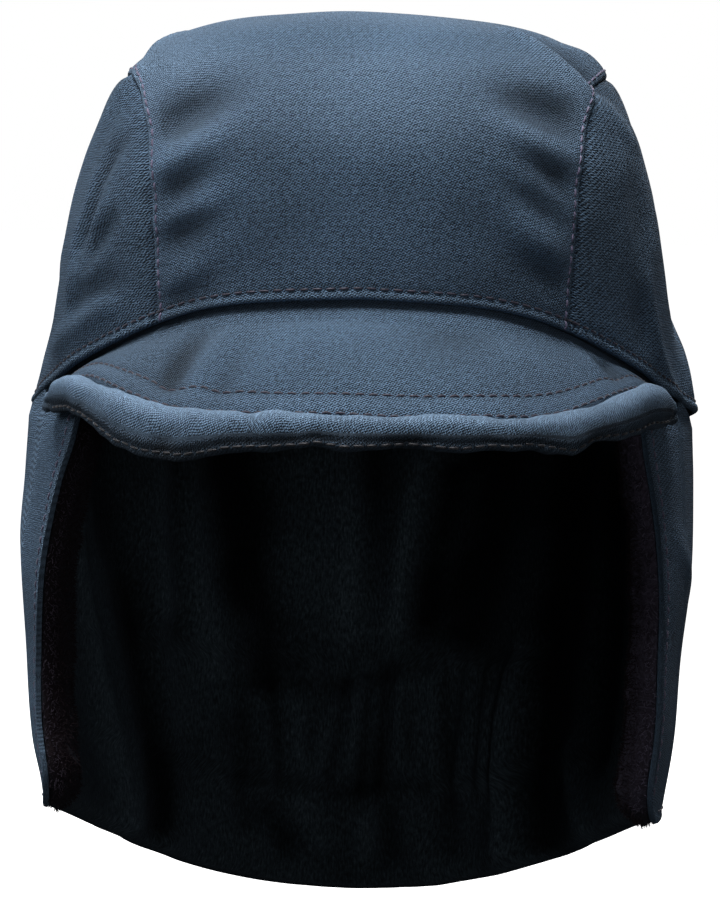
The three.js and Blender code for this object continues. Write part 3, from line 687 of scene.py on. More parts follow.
def sidePanel(name, side):
    rows, columns = (
        fineAtEnds(panelSet[key], panelSet["coarse"], (True, True)) for key in ("sideHeight", "sideLength")
    )
    frontFan, backFan = (float(edgeFan(np.ones(1), -cloth["gap"] / 2, g)[0]) for g in panelSet["fanGuess"])
    cornerFront, cornerBack = (math.radians(corner) for corner in panelSet["sideCorners"])
    seamPoint = lambda fan: fanPoint(fan, seamHalf(fan) + cloth["gap"] / 2)
    ends = turnOf(seamPoint(np.array([frontFan, backFan])))
    turn = ends[0] + (ends[1] - ends[0]) * columns
    low = wallPoint(turn, edgeHeight(turn))
    top = seamPoint(cornerFront + (cornerBack - cornerFront) * columns)
    front = seamPoint(frontFan + (cornerFront - frontFan) * rows)
    back = seamPoint(backFan + (cornerBack - backFan) * rows)
    u, v = columns[None, :, None], rows[:, None, None]
    flat = (1 - v) * low[None] + v * top[None] + (1 - u) * front[:, None] + u * back[:, None]
    flat -= (1 - v) * ((1 - u) * low[0] + u * low[-1]) + v * ((1 - u) * top[0] + u * top[-1])
    flat[..., 0] = 0
    grid = castOut(flat, np.broadcast_to(np.array([1.0, 0, 0]), flat.shape))
    grid[..., 0] *= side
    outer, inner, wearAndHighlight, shade = crownCloth(grid, True)
    uv = arcUv(outer)
    uv[..., 0] = side * eased(uv[..., 0], -20, 0.5)
    return sheetPiece(name, outer, inner, wearAndHighlight, panelSet["rimRound"], uv=uv, shade=shade)


crownPanel = finish(centrePanel(), twill, "twill", "crown_centre_panel")
for label, side, material in (("Left", -1, leftShadedTwill), ("Right", 1, rightShadedTwill)):
    panel = sidePanel("crownSidePanel" + label, side)
    finish(panel, material, "twill", "crown_side_panel_" + label.lower())
print("crown panels made")


# crown lining
liningSet = {"inset": 3.2, "thick": 7.5, "columns": 220, "rows": 64, "curl": 0.5, "curlSize": 7}


def crownLining():
    turns = np.linspace(0, 360, liningSet["columns"], endpoint=False)
    turns = np.where(turns > 180, turns - 360, turns)
    start = np.array([0, crownForm["centreY"], crownForm["baseZ"]], float)
    low = wallPoint(turns, edgeHeight(turns))
    flat = low - start
    lowAngle = np.arctan2(flat[:, 2], np.hypot(flat[:, 0], flat[:, 1]))
    flat[:, 2] = 0
    flat /= np.linalg.norm(flat, axis=-1, keepdims=True)
    rise = spaced(liningSet["rows"] + 1)[:-1][:, None]
    angle = lowAngle[None] + (math.pi / 2 - lowAngle[None]) * rise
    heading = flat[None] * np.cos(angle)[..., None]
    heading[..., 2] = np.sin(angle)
    grid = castOut(np.broadcast_to(start, heading.shape), heading)
    top = castOut(start[None], np.array([[0, 0, 1.0]]))
    normal, topNormal = outward(grid), outward(top)
    fold = np.minimum(crownFolds(grid), 0) * 0.9
    outer = grid + normal * (fold - liningSet["inset"])[..., None]
    curl = liningSet["curl"] * wander(grid, liningSet["curlSize"], 21)
    inner = grid + normal * (curl - liningSet["inset"] - liningSet["thick"])[..., None]
    tops = [(top - topNormal * d)[0] for d in (liningSet["inset"], liningSet["inset"] + liningSet["thick"])]
    return domePiece("crownLining", outer, inner, tops[0], tops[1])


lining = finish(crownLining(), pile, "pile", "crown_lining")
print("crown lining made")


# flap
hemSet = {"atMiddle": -127, "slope": -0.12, "curve": -0.0018, "cornerRadius": 17}
napeSet = {"top": -92, "bottom": -131, "left": -42, "right": 58, "drawnIn": 3, "ripple": 1.6, "pitch": 9.5}
hangingFolds = [
    # arc from the middle of the back, lean, depth, width, top, bottom
    (-78, -0.1, 3.0, 7, -14, -170), (-60, 0.02, 1.4, 5, -14, -110), (-36, 0.16, 4.5, 9, -20, -96),
    (16, 0.06, 3.2, 6, -14, -98), (-14, 0, -2.6, 10, -14, -96), (30, -0.12, -1.2, 8, -14, -90),
    (66, 0.12, 3.4, 8, -20, -170), (-24, -0.5, 2.4, 6, -128, -172), (12, 0.1, 2.4, 5, -126, -172),
    (-96, -0.16, 1.6, 6, -40, -150), (90, 0.1, 1.2, 7, -20, -120), (44, 0.2, 1.4, 5, -122, -172),
    (196, 0.1, -2.0, 14, 22, -8), (180, 1.8, -0.9, 8, -16, -62), (-192, 0, -1.4, 20, -24, -120),
]
pileFolds = [
    # height (minus for a groove), width, points of (arc from the middle of the back, z)
    (5.0, 8, [(-8, -10), (-8, -24), (-5, -40), (-3, -59), (0, -92)]),
    (5.0, 7, [(24, -10), (22, -25), (17, -43), (14, -59), (13, -90)]),
    (3.0, 7, [(-73, -10), (-72, -30), (-71, -52), (-69, -82)]),
    (2.6, 7, [(-58, -12), (-58, -30), (-54, -72), (-50, -102)]),
    (3.2, 8, [(-127, -30), (-125, -56), (-115, -84), (-104, -113), (-90, -150)]),
    (3.0, 7, [(62, -76), (59, -114), (55, -156)]),
    (2.6, 11, [(-19, -20), (-23, -72), (-19, -99)]),
    (2.4, 7, [(79, -110), (91, -130), (103, -146)]),
    (-4.2, 8, [(-105, -8), (-103, -21), (-93, -58), (-83, -96), (-71, -150)]),
    (-2.6, 4.5, [(-65, -12), (-64, -59), (-63, -90)]),
    (-5.0, 13, [(-43, -14), (-41, -31), (-36, -60), (-25, -102)]),
    (-4.0, 6, [(4, -12), (5, -53), (3, -72), (1, -92)]),
    (-4.0, 6, [(29, -22), (27, -39), (22, -59), (19, -92)]),
    (-4.6, 13, [(50, -8), (47, -22), (44, -45), (41, -67), (34, -92)]),
    (-5.0, 12, [(78, -8), (77, -24), (76, -56), (75, -94), (73, -119), (71, -154)]),
    (-3.4, 8, [(98, -16), (100, -35), (105, -79), (107, -124)]),
    # the elastic's two edges, the gathers between them and the folds that fall from it
    (-1.8, 3, [(-46, -101), (-5, -100), (30, -91)]),
    (-1.8, 3, [(-46, -127), (-4, -133), (32, -129)]),
    (-3.0, 2.6, [(-30, -94), (-26, -134)]), (-1.6, 2.2, [(-13, -99), (-17, -126)]),
    (-2.6, 2.0, [(-3, -94), (-9, -133)]), (-2.0, 2.0, [(4, -97), (2, -139)]),
    (-3.0, 2.4, [(11, -90), (8, -136)]), (-1.5, 2.4, [(17, -98), (21, -127)]),
    (-2.4, 2.8, [(31, -90), (35, -142)]), (-2.2, 3.0, [(-41, -100), (-35, -130)]),
    (1.8, 3.2, [(-21, -98), (-20, -131)]), (1.4, 2.4, [(-6, -101), (-12, -128)]),
    (1.8, 2.2, [(1, -94), (-3, -131)]), (1.6, 2.4, [(14, -93), (15, -131)]),
    (1.8, 3.4, [(25, -92), (27, -130)]), (-2.8, 5, [(-33, -132), (-18, -158)]),
    (2.2, 5, [(-22, -131), (-7, -156)]), (-3.0, 4.5, [(11, -131), (13, -162)]),
    (2.0, 4.5, [(4, -134), (3, -159)]), (-2.4, 5, [(31, -130), (34, -158)]),
    (-2.2, 5, [(-47, -104), (-40, -133), (-34, -150)]),
]
flapSet = {
    "radius": 104, "halfLength": 215, "height": 150, "coarse": 1.9, "coarseDown": 1.7, "aboveFlap": 8,
    "pile": 7, "edgePile": 9.5, "deepest": 4.8, "highest": 8, "stitchIn": 3.6,
    "fadeTop": 22, "fadeBottom": 16, "lineEnds": 9, "curls": [(0.45, 8, 35), (0.2, 3.8, 36)],
}


def arcOf(p):  # millimetres round from the middle of the back, plus to the right
    return np.sign(p[..., 0]) * np.radians(180 - turnOf(p)) * flapSet["radius"]


def flapGrid():
    half = fineAtEnds(flapSet["halfLength"], flapSet["coarse"], (False, True))
    shares = np.concatenate([-half[:0:-1], half])[None, :]
    rows = fineAtEnds(flapSet["height"], flapSet["coarseDown"], (True, True))[:, None]
    z = -2 - 128 * rows + 0 * shares
    for _ in range(10):
        front = np.where(shares < 0, *(readTable(flapFrontTable, "z", of, z) for of in ("left", "right")))
        turn = 180 - np.abs(shares) * (180 - front)
        p = wallPoint(np.where(shares < 0, -turn, turn), z)
        missing = np.clip(1 - np.radians(turn - front) * 100 / hemSet["cornerRadius"], 0, 1)
        corner = hemSet["cornerRadius"] * (1 - np.sqrt(1 - missing**2))
        hem = hemSet["atMiddle"] + hemSet["slope"] * p[..., 1] + hemSet["curve"] * p[..., 1] ** 2 + corner
        top = edgeHeight(turn) - cloth["gap"] * 0.5 - flapSet["aboveFlap"] * step(64, 59.5, turn)
        z = top + (hem - top) * rows
    fromFront = (1 - np.abs(shares)) * flapSet["halfLength"] + 0 * rows
    return p, fromFront, z - z[-1]


def flapFolds(p, fromFront):
    z, arc = p[..., 2], arcOf(p)
    relief = np.zeros(z.shape)
    for place, lean, depth, width, top, bottom in hangingFolds:
        span = step(top, top - flapSet["fadeTop"], z) * (1 - step(bottom + flapSet["fadeBottom"], bottom, z))
        relief -= depth * bell(arc - place - lean * (z + 60), width) * span
    top, bottom, left, right = (napeSet[key] for key in ("top", "bottom", "left", "right"))
    band = step(top + 6, top - 4, z) * step(bottom - 8, bottom + 6, z)
    width = step(left - 14, left + 10, arc) * step(right + 14, right - 10, arc)
    wobble = arc + 2.5 * wander(p, 40, 31)
    ripple = napeSet["ripple"] * np.cos(2 * math.pi * wobble / napeSet["pitch"])
    relief -= band * width * (napeSet["drawnIn"] + ripple)
    relief *= step(4, 22, fromFront)
    return relief + 0.3 * wander(p, 50, 33) * step(0, 30, -6 - z)


def flapPieces():
    p, fromFront, fromHem = flapGrid()
    normal = outward(p)
    folds = flapFolds(p, fromFront)
    edge = np.minimum(fromFront, fromHem)
    bead = 0.3 * bell(edge - 1.0, 1.0) - 0.15 * bell(edge - 3.6, 0.7)
    shell = folds + bead
    outer = p + normal * shell[..., None]
    inner = p + normal * (folds - cloth["thick"])[..., None]
    isRight = p[..., 0] > 0
    # painted highlight: a lighter strip along the front edges, at the edge on the left and a little in from it
    # on the right
    wearAndHighlight = np.where(isRight, 0.2 * bell(fromFront - 5, 1.6), 0.5 * bell(fromFront, 1.8))
    # painted shade in the folds' hollows, painted light on their ridges, and a painted dark line where the
    # right front edge meets the plush
    shade = np.clip(-folds / 9, -0.15, 0.4) + isRight * 0.45 * bell(fromFront, 1.4)
    uv = arcUv(outer)
    uv[..., 0] = np.sign(uv[..., 0]) * -eased(-np.abs(uv[..., 0]), -135, 0.4)
    flapShell = sheetPiece("flapShell", outer, inner, wearAndHighlight, panelSet["rimRound"], uv=uv, shade=shade)
    nearFront = step(22, 4, fromFront)
    thick = flapSet["pile"] + (flapSet["edgePile"] - flapSet["pile"]) * nearFront
    drop = np.clip(1 - edge / 5.0, 0, 1)
    thick = thick * (0.55 + 0.45 * np.sqrt(1 - drop**2))
    curl = wandering(p, flapSet["curls"])
    flat = np.stack([arcOf(p), p[..., 2]], axis=-1)
    inside = 0
    for height, width, line in pileFolds:
        inside = inside + height * lineBell(flat, np.array(line, float), width, flapSet["lineEnds"])
    fromEdge = step(14, 30, fromFront)
    inside = np.clip(inside, -flapSet["deepest"], flapSet["highest"]) * fromEdge
    # painted shade in the pile's grooves and painted light on its ridges, with darker patches at random
    dark = np.clip(-inside / 5, -0.7, 0.88) + 0.25 * np.clip(wander(p, 34, 37), 0, 1) * fromEdge
    dark = np.clip(dark, -0.7, 0.92)
    start = cloth["thick"] + cloth["gap"]
    pileOut = p + normal * (folds - start)[..., None]
    pileIn = p + normal * (folds - start - thick - inside + curl * (0.5 + 0.5 * nearFront))[..., None]
    edgeTone = step(16, 9, fromFront) + isRight * step(7, 2, fromFront)
    flapLining = sheetPiece("flapLining", pileOut, pileIn, edgeTone, 1.6, sharp=0, shadeIn=dark)
    # where the plush stands up: over both front edges, and along the hem close to them
    furry = np.maximum(step(17, 9, fromFront), 0.5 * step(5, 1.5, fromHem) * step(34, 20, fromFront))
    pale = np.where(isRight, 1.0, 0.3) * step(8, 1, fromFront)
    rimR, rimC = rimOrder(*p.shape[:2])
    edges = {
        "furry": [np.zeros(furry.size), furry.ravel(), furry[rimR, rimC]],
        "wearAndHighlight": [pale.ravel(), np.zeros(pale.size), 0.95 * pale[rimR, rimC]],
    }
    return flapShell, flapLining, p, fromFront, fromHem, shell, edges


flapShell, flapLining, flapPoints, flapFromFront, flapFromHem, flapRelief, plushEdges = flapPieces()
finish(flapShell, twill, "twill", "flap_shell")
finish(flapLining, pile, "pile", "flap_lining")
print("flap made")


# peak and rim
outlineSet = {"half": 91.5, "reach": 105, "centreY": -45, "square": 2.3}
spanSet = {"crownTurn": 58, "rimTurn": 80}
rimTable = {
    "turn": [0, 18, 32, 46, 57, 68, 80],
    "top": [-0.8, -0.9, -0.3, 4.2, 6.5, 4.5, -0.5],
    "height": [9, 9.6, 12.7, 12.6, 12.2, 10, 5],
    "depth": [7, 7, 7.4, 7.4, 7, 5.5, 2.4],
}
rimHang = {  # how much lower than the even roll the rim's worn lower edge hangs, by the distance across
    "x": [-90, -82, -76, -67, -60, -51, -45, -37, -24, -17, -13,
          -6, 0, 30, 37, 42, 47, 53, 58, 64, 70, 90],
    "drop": [0, -1.2, -0.6, 1.8, 2.3, 3.0, 2.7, 1.6, 1.3, 0.9, -0.6,
             0.6, 0.6, 0, -0.7, -1.4, -2.8, -2.0, -0.7, -1.6, -0.4, 0],
}
peakSet = {
    "thick": 2.6, "underCrown": 3.5, "arch": 3, "archFrom": 0.2, "belowEdge": 0.5, "rowIn": 7.2, "dip": 0.35,
    "columns": 181, "rimRound": 0.3, "leftShade": 0.24,
}
rimSteps = {"endFrom": 0.93, "end": 14, "middle": 215, "round": 44, "bare": 26, "power": 0.9}
rimEnds = {"left": 0.8, "right": 0.5}  # how thick the roll is at each end, against its middle
rimWander = [(0.45, 24, 51), (0.22, 9, 52)]


def outlinePoint(turn):
    t = np.radians(turn)
    wide = (np.abs(np.sin(t)) / outlineSet["half"]) ** outlineSet["square"]
    far = (np.cos(t) / outlineSet["reach"]) ** outlineSet["square"]
    radius = (wide + far) ** (-1 / outlineSet["square"])
    ahead = outlineSet["centreY"] - radius * np.cos(t)
    return np.stack([radius * np.sin(t), ahead, np.zeros_like(t)], axis=-1)


def rimFrame(share):
    turn = np.asarray(share, float) * spanSet["rimTurn"]
    edge = outlinePoint(turn)
    ahead = outlinePoint(turn + 0.5) - outlinePoint(turn - 0.5)
    ahead /= np.linalg.norm(ahead, axis=-1, keepdims=True)
    out = np.stack([ahead[..., 1], -ahead[..., 0], np.zeros_like(turn)], axis=-1)
    top, height, depth = (readTable(rimTable, "turn", of, np.abs(turn)) for of in ("top", "height", "depth"))
    edge[..., 2] = top
    return edge, out, height, depth


def peakPoint(share, along):
    share, along = np.broadcast_arrays(np.asarray(share, float), np.asarray(along, float))
    turn = share * spanSet["crownTurn"]
    start = wallPoint(turn, edgeHeight(turn) - peakSet["belowEdge"])
    start = start - outward(start) * peakSet["underCrown"]
    edge, out, height, depth = rimFrame(share)
    end = edge - out * (depth + 0.15)[..., None]
    end[..., 2] -= 0.5
    p = start + (end - start) * along[..., None]
    past = np.clip((along - peakSet["archFrom"]) / (1 - peakSet["archFrom"]), 0, 1)
    p[..., 2] += peakSet["arch"] * np.sin(math.pi * past) * (1 - share**2)
    return p, np.linalg.norm(end - p, axis=-1)


rimPleats = [
    # share of the way to an end, depth, width
    (0.885, 1.1, 0.008), (0.915, 1.9, 0.007), (0.945, 1.8, 0.007), (0.968, 1.3, 0.006), (-0.9, 0.9, 0.01),
]
peakDents = [
    # x, y, depth, length, width, heading
    (-51, -119, 3.2, 11, 4.6, 52), (-43, -126, -1.6, 12, 3.6, 56), (-37, -131, 1.2, 9, 3.6, 60),
    (68, -92, 2.6, 15, 5, 120), (61, -96, -1.0, 14, 4, 124), (25, -119, 1.5, 12, 8, 20),
    (-12, -122, -0.6, 26, 9, 170),
]


def peakRelief(p, fromRim):
    relief = -peakSet["dip"] * bell(fromRim - peakSet["rowIn"], 1.0) - 0.3 * bell(fromRim, 1.2)
    relief += 0.35 * bell(fromRim - 3.4, 2.2)
    for x, y, depth, length, width, heading in peakDents:
        turn = math.radians(heading)
        along = (p[..., 0] - x) * math.cos(turn) + (p[..., 1] - y) * math.sin(turn)
        over = -(p[..., 0] - x) * math.sin(turn) + (p[..., 1] - y) * math.cos(turn)
        relief -= depth * bell(along, length) * bell(over, width) * step(0, 12, fromRim) * 0.8
    return relief + 0.18 * wander(p, 30, 41)


def peakPanel():
    shares = spaced(peakSet["columns"], -1, 1)[None, :]
    places = np.concatenate([spaced(14, 0, 0.22)[:-1], spaced(46, 0.22, 1)])[:, None]
    p, fromRim = peakPoint(shares, places)
    fade = step(0.14, 0.3, places)
    relief = peakRelief(p, fromRim)
    top, low = p.copy(), p.copy()
    top[..., 2] += relief * fade
    low[..., 2] -= peakSet["thick"]
    # painted shade in the dents and over the peak's left part, painted light on the ridges
    shade = np.clip(-relief / 3, -0.15, 0.6) * fade + peakSet["leftShade"] * step(-16, -62, p[..., 0])
    wearAndHighlight = 0.15 * bell(fromRim - 3.4, 2.0)
    return sheetPiece("peakPanel", top, low, wearAndHighlight, peakSet["rimRound"], uv=arcUv(top, (1, -1)), shade=shade)


def rimShares():  # close together at both ends
    edge, end = rimSteps["endFrom"], rimSteps["end"]
    middle = spaced(rimSteps["middle"], -edge, edge)
    return np.concatenate([spaced(end, -1, -edge)[:-1], middle, spaced(end, edge, 1)[1:]])


def rimRings():
    shares = rimShares()
    edge, out, height, depth = rimFrame(shares)
    past = np.clip((np.abs(shares) - rimSteps["endFrom"]) / (1 - rimSteps["endFrom"]), 0, 1)
    least = np.where(shares < 0, rimEnds["left"], rimEnds["right"])
    shrink = least + (1 - least) * np.sqrt(1 - past**2)
    angle = np.linspace(0, 2 * math.pi, rimSteps["round"], endpoint=False)
    across, up = (np.sign(part) * np.abs(part) ** rimSteps["power"] for part in (np.cos(angle), np.sin(angle)))
    middle = edge - out * (depth / 2)[:, None]
    middle[:, 2] -= height / 2
    a = across[None, :] * (shrink * depth / 2)[:, None]
    b = up[None, :] * (shrink * height / 2)[:, None]
    rings = middle[:, None, :] + out[:, None, :] * a[..., None]
    rings[..., 2] += b
    rings[..., 2] -= np.interp(rings[..., 0], rimHang["x"], rimHang["drop"]) * (0.5 - 0.5 * up)[None, :]
    section = np.stack([np.cos(angle), np.zeros_like(angle), np.sin(angle)], axis=-1)
    lift = out[:, None, :] * section[None, :, :1] + np.array([0, 0, 1.0]) * section[None, :, 2:]
    fromLow = (b + (shrink * height / 2)[:, None])
    isFront = step(0.1, 0.5, across)[None, :]
    relief = -0.55 * bell(fromLow - 2.6, 0.8) * isFront + 0.2 * bell(fromLow - 1.0, 1.0) * isFront
    relief = relief + wandering(rings, rimWander)
    pleatShade = 0 * relief
    for place, depth, width in rimPleats:
        pleat = bell(shares - place, width)[:, None] * step(-0.4, 0.3, across + up)[None, :]
        relief, pleatShade = relief - depth * pleat, pleatShade + 0.4 * pleat
    relief *= (0.35 + 0.65 * shrink)[:, None]
    # painted highlight: the roll's top lighter where the light falls, with a little real wear on its lower
    # front lip
    wearAndHighlight = 0.9 * step(0.35, 0.95, up)[None, :] + 0.08 * bell(fromLow - 1.0, 1.0) * isFront
    # painted shade: the roll's lower half, its dents and its pleats are darker
    shade = 0.74 * step(0.55, -0.55, up)[None, :] + np.clip(-relief / 4, 0, 0.4) + pleatShade
    return rings + lift * relief[..., None], wearAndHighlight + 0 * rings[..., 0], shade


def openRoll(rings, deep):  # the roll's left end is open: a mouth, and a hollow behind it
    centre = rings[0].mean(axis=0)
    inward = rings[8].mean(axis=0) - centre
    inward /= np.linalg.norm(inward)
    low = np.array([0, 0, -0.8])
    mouth = centre + low + (rings[0] - centre) * 0.5
    floor = centre + low + (rings[0] - centre) * 0.4 + inward * deep
    return np.concatenate([floor[None], mouth[None], rings])


finish(peakPanel(), peakShadedTwill, "twill", "peak_panel")
rimPoints, rimWearAndHighlight, rimShade = rimRings()
opened = [0, 0] + list(range(len(rimWearAndHighlight)))
rimPiece = barPiece("peakRim", openRoll(rimPoints, 6.0), rimWearAndHighlight[opened], rimShade[opened])
finish(rimPiece, rimLitTwill, "twill", "peak_rim")
print("peak and rim made")


# what the geometry node trees share
def newTree(name, ground, sizes, seed, material, result):
    tree = bpy.data.node_groups.new(name, "GeometryNodeTree")
    sockets = [(ground, "NodeSocketGeometry", None)]
    sockets += [(size, "NodeSocketFloat", value) for size, value in sizes.items()]
    sockets += [("Seed", "NodeSocketInt", seed), (material, "NodeSocketMaterial", None)]
    for label, kind, default in sockets:
        socket = tree.interface.new_socket(name=label, in_out="INPUT", socket_type=kind)
        if default is not None:
            socket.default_value = default
    tree.interface.new_socket(name=result, in_out="OUTPUT", socket_type="NodeSocketGeometry")
    return tree, addNode(tree, "NodeGroupInput").outputs


def shortLine(tree, length, axis, ends, count):  # along one axis, between two shares of the length
    places = {}
    for name, share in zip(("Start", "End"), ends):
        reach = mathNode(tree, "MULTIPLY", length, share)
        places[name] = addNode(tree, "ShaderNodeCombineXYZ", {axis: reach}).outputs[0]
    line = addNode(tree, "GeometryNodeCurvePrimitiveLine", places).outputs["Curve"]
    return addNode(tree, "GeometryNodeResampleCurve", {"Curve": line, "Count": count}).outputs["Curve"]


def moved(tree, curve, axis, by):
    offset = addNode(tree, "ShaderNodeCombineXYZ", {axis: by}).outputs[0]
    return addNode(tree, "GeometryNodeSetPosition", {"Geometry": curve, "Offset": offset}).outputs["Geometry"]


def swept(tree, curve, radius, sides, more=None):
    ring = addNode(tree, "GeometryNodeCurvePrimitiveCircle", {"Resolution": sides, "Radius": radius})
    inputs = {"Curve": curve, "Profile Curve": ring.outputs["Curve"], "Fill Caps": True}
    return addNode(tree, "GeometryNodeCurveToMesh", {**inputs, **(more or {})}).outputs["Mesh"]


def turnedBy(tree, rotation, by):
    inputs = {"Rotation": rotation, "Rotate By": by}
    return addNode(tree, "FunctionNodeRotateRotation", inputs, rotation_space="LOCAL").outputs[0]


def setOut(tree, points, instance, rotation, scale, material):
    inputs = {"Points": points, "Instance": instance, "Rotation": rotation, "Scale": scale}
    placed = addNode(tree, "GeometryNodeInstanceOnPoints", inputs).outputs["Instances"]
    real = addNode(tree, "GeometryNodeRealizeInstances", {"Geometry": placed}).outputs["Geometry"]
    painted = addNode(tree, "GeometryNodeSetMaterial", {"Geometry": real, "Material": material})
    addNode(tree, "NodeGroupOutput", {0: painted.outputs["Geometry"]})
    return tree


def applyTree(piece, tree, values):
    modifier = piece.modifiers.new(tree.name, "NODES")
    modifier.node_group = tree
    for item in tree.interface.items_tree:
        if item.item_type == "SOCKET" and item.in_out == "INPUT" and item.name in values:
            modifier[item.identifier] = values[item.name]
    piece.update_tag()
    bpy.context.view_layer.update()
    made = bpy.data.meshes.new_from_object(piece.evaluated_get(bpy.context.evaluated_depsgraph_get()))
    piece.modifiers.remove(modifier)
    piece.data = made
    made.shade_smooth()
    return piece


# stitches, set along paths
stitchSet = {
    "pitch": 3.7, "length": 2.7, "radius": 0.33, "sink": 0.35, "lift": 0.16, "seed": 7,
    "turnMin": (-0.05, -0.03, -0.09), "turnMax": (0.05, 0.03, 0.09),
    "sizeMin": (0.92, 0.9, 0.9), "sizeMax": (1.06, 1.1, 1.1),
}


def randomVector(tree, low, high, seed):
    inputs = {"Min": low, "Max": high, "Seed": seed}
    return addNode(tree, "FunctionNodeRandomValue", inputs, data_type="FLOAT_VECTOR").outputs["Value"]


def stitchTree():
    sizes = {name.capitalize(): stitchSet[name] * mm for name in ("pitch", "length", "radius", "sink")}
    tree, given = newTree("stitchRow", "Path", sizes, stitchSet["seed"], "Thread", "Stitches")
    path = addNode(tree, "GeometryNodeMeshToCurve", {"Mesh": given["Path"]}).outputs["Curve"]
    paces = addNode(tree, "GeometryNodeResampleCurve", {"Curve": path, "Length": given["Pitch"]}, mode="LENGTH")
    # one stitch: a short thread that dips into the cloth at both ends
    line = shortLine(tree, given["Length"], "X", (-0.5, 0.5), 7)
    along = addNode(tree, "GeometryNodeSplineParameter").outputs["Factor"]
    fromMiddle = mathNode(tree, "ABSOLUTE", mathNode(tree, "MULTIPLY_ADD", along, 2.0, -1.0))
    dip = mathNode(tree, "MULTIPLY", mathNode(tree, "POWER", fromMiddle, 3.0), given["Sink"])
    bowed = moved(tree, line, "Z", mathNode(tree, "MULTIPLY", dip, -1.6))
    thread = swept(tree, bowed, given["Radius"], 6)
    # each stitch lies along the path with its back to the cloth
    tangent = addNode(tree, "GeometryNodeInputTangent").outputs[0]
    ahead = addNode(tree, "FunctionNodeAlignRotationToVector", {"Vector": tangent}, axis="X").outputs[0]
    outwards = addNode(tree, "GeometryNodeInputNamedAttribute", {"Name": "outward"}, data_type="FLOAT_VECTOR")
    inputs = {"Rotation": ahead, "Vector": outwards.outputs["Attribute"]}
    upright = addNode(tree, "FunctionNodeAlignRotationToVector", inputs, axis="Z", pivot_axis="X").outputs[0]
    turn = randomVector(tree, stitchSet["turnMin"], stitchSet["turnMax"], given["Seed"])
    size = randomVector(tree, stitchSet["sizeMin"], stitchSet["sizeMax"], given["Seed"])
    turned = turnedBy(tree, upright, turn)
    return setOut(tree, paces.outputs["Curve"], thread, turned, size, given["Thread"])


rowTree = stitchTree()


# rows are pairs of points and normals
def stitchRows(name, rows, thread, pitch=stitchSet["pitch"], length=stitchSet["length"]):
    points, normals, edges = [], [], []
    for path, facing in rows:
        start = len(points)
        points += list(path + facing * stitchSet["lift"])
        normals += list(facing)
        edges += [(start + i, start + i + 1) for i in range(len(path) - 1)]
    mesh = bpy.data.meshes.new(name)
    mesh.from_pydata((np.array(points) * mm).tolist(), edges, [])
    layer = mesh.attributes.new("outward", "FLOAT_VECTOR", "POINT")
    layer.data.foreach_set("vector", np.array(normals, np.float32).ravel())
    piece = bpy.data.objects.new(name, mesh)
    bpy.context.scene.collection.objects.link(piece)
    values = {
        "Pitch": pitch * mm, "Length": length * mm, "Radius": stitchSet["radius"] * mm,
        "Sink": stitchSet["sink"] * mm, "Seed": stitchSet["seed"], "Thread": thread,
    }
    return finish(applyTree(piece, rowTree, values), thread, "thread")


def seamRow(side):
    low, high = (float(edgeFan(np.ones(1), panelSet["stitchIn"], g)[0]) for g in panelSet["fanGuess"])
    fan = spaced(400, low + 0.012, high - 0.012)
    p = fanPoint(fan, side * (seamHalf(fan) - panelSet["stitchIn"] / panelSet["slant"]))
    return crownCloth(p, False)[0], outward(p)


def edgeRow():
    turn = spaced(900, -179.9, 179.9)
    p = wallPoint(turn, edgeHeight(turn) + beadSet["stitchAt"])
    return p + outward(p) * (crownFolds(p) + beadRelief(p))[:, None], outward(p)


def peakRow(fromRim, shareEnd):
    shares = spaced(240, -shareEnd, shareEnd)
    dense = spaced(300, 0.3, 1)[:, None]
    p, distance = peakPoint(shares[None, :], dense)
    pick = np.argmin(np.abs(distance - fromRim), axis=0)
    row = p[pick, np.arange(len(shares))]
    row[:, 2] += peakRelief(row, distance[pick, np.arange(len(shares))])
    normal = np.stack([0 * shares, -0.55 + 0 * shares, 0.83 + 0 * shares], axis=-1)
    return row, normal


def rimRow(angleAt):
    pick = int(round(angleAt / 360 * rimPoints.shape[1])) % rimPoints.shape[1]
    bare = rimSteps["bare"]
    ring = rimPoints[bare:-bare, pick]
    return ring, rimFrame(rimShares())[1][bare:-bare]


def flapRow(edge):  # a row this far in from the hem, between the front edges
    pick = np.argmin(np.abs(flapFromHem - edge), axis=0)
    columns = np.arange(flapPoints.shape[1])
    inside = flapFromFront[pick, columns] > edge + 13
    hem = flapPoints[pick, columns][inside]
    hemLift = flapRelief[pick, columns][inside]
    return hem + outward(hem) * hemLift[:, None], outward(hem)


def flapSideRow(edge, side):
    columns = np.argsort(np.abs(flapFromFront[0] - edge) + 1e3 * (np.sign(flapPoints[0, :, 0]) != side))
    column = flapPoints[:, columns[0]]
    keep = (flapFromHem[:, columns[0]] > edge) & (column[:, 2] < edgeHeight(turnOf(column)) - 4)
    line = column[keep]
    return line + outward(line) * flapRelief[keep, columns[0]][:, None], outward(line)


def napeRow(height):
    columns = np.arange(flapPoints.shape[1])
    pick = np.argmin(np.abs(flapPoints[..., 2] - height), axis=0)
    arc = arcOf(flapPoints[0])
    keep = (arc > napeSet["left"] - 8) & (arc < napeSet["right"] + 8)
    line = flapPoints[pick, columns][keep]
    line = line + (height - line[:, 2:]) * np.array([0, 0, 1.0])
    return line + outward(line) * flapRelief[pick, columns][keep][:, None], outward(line)


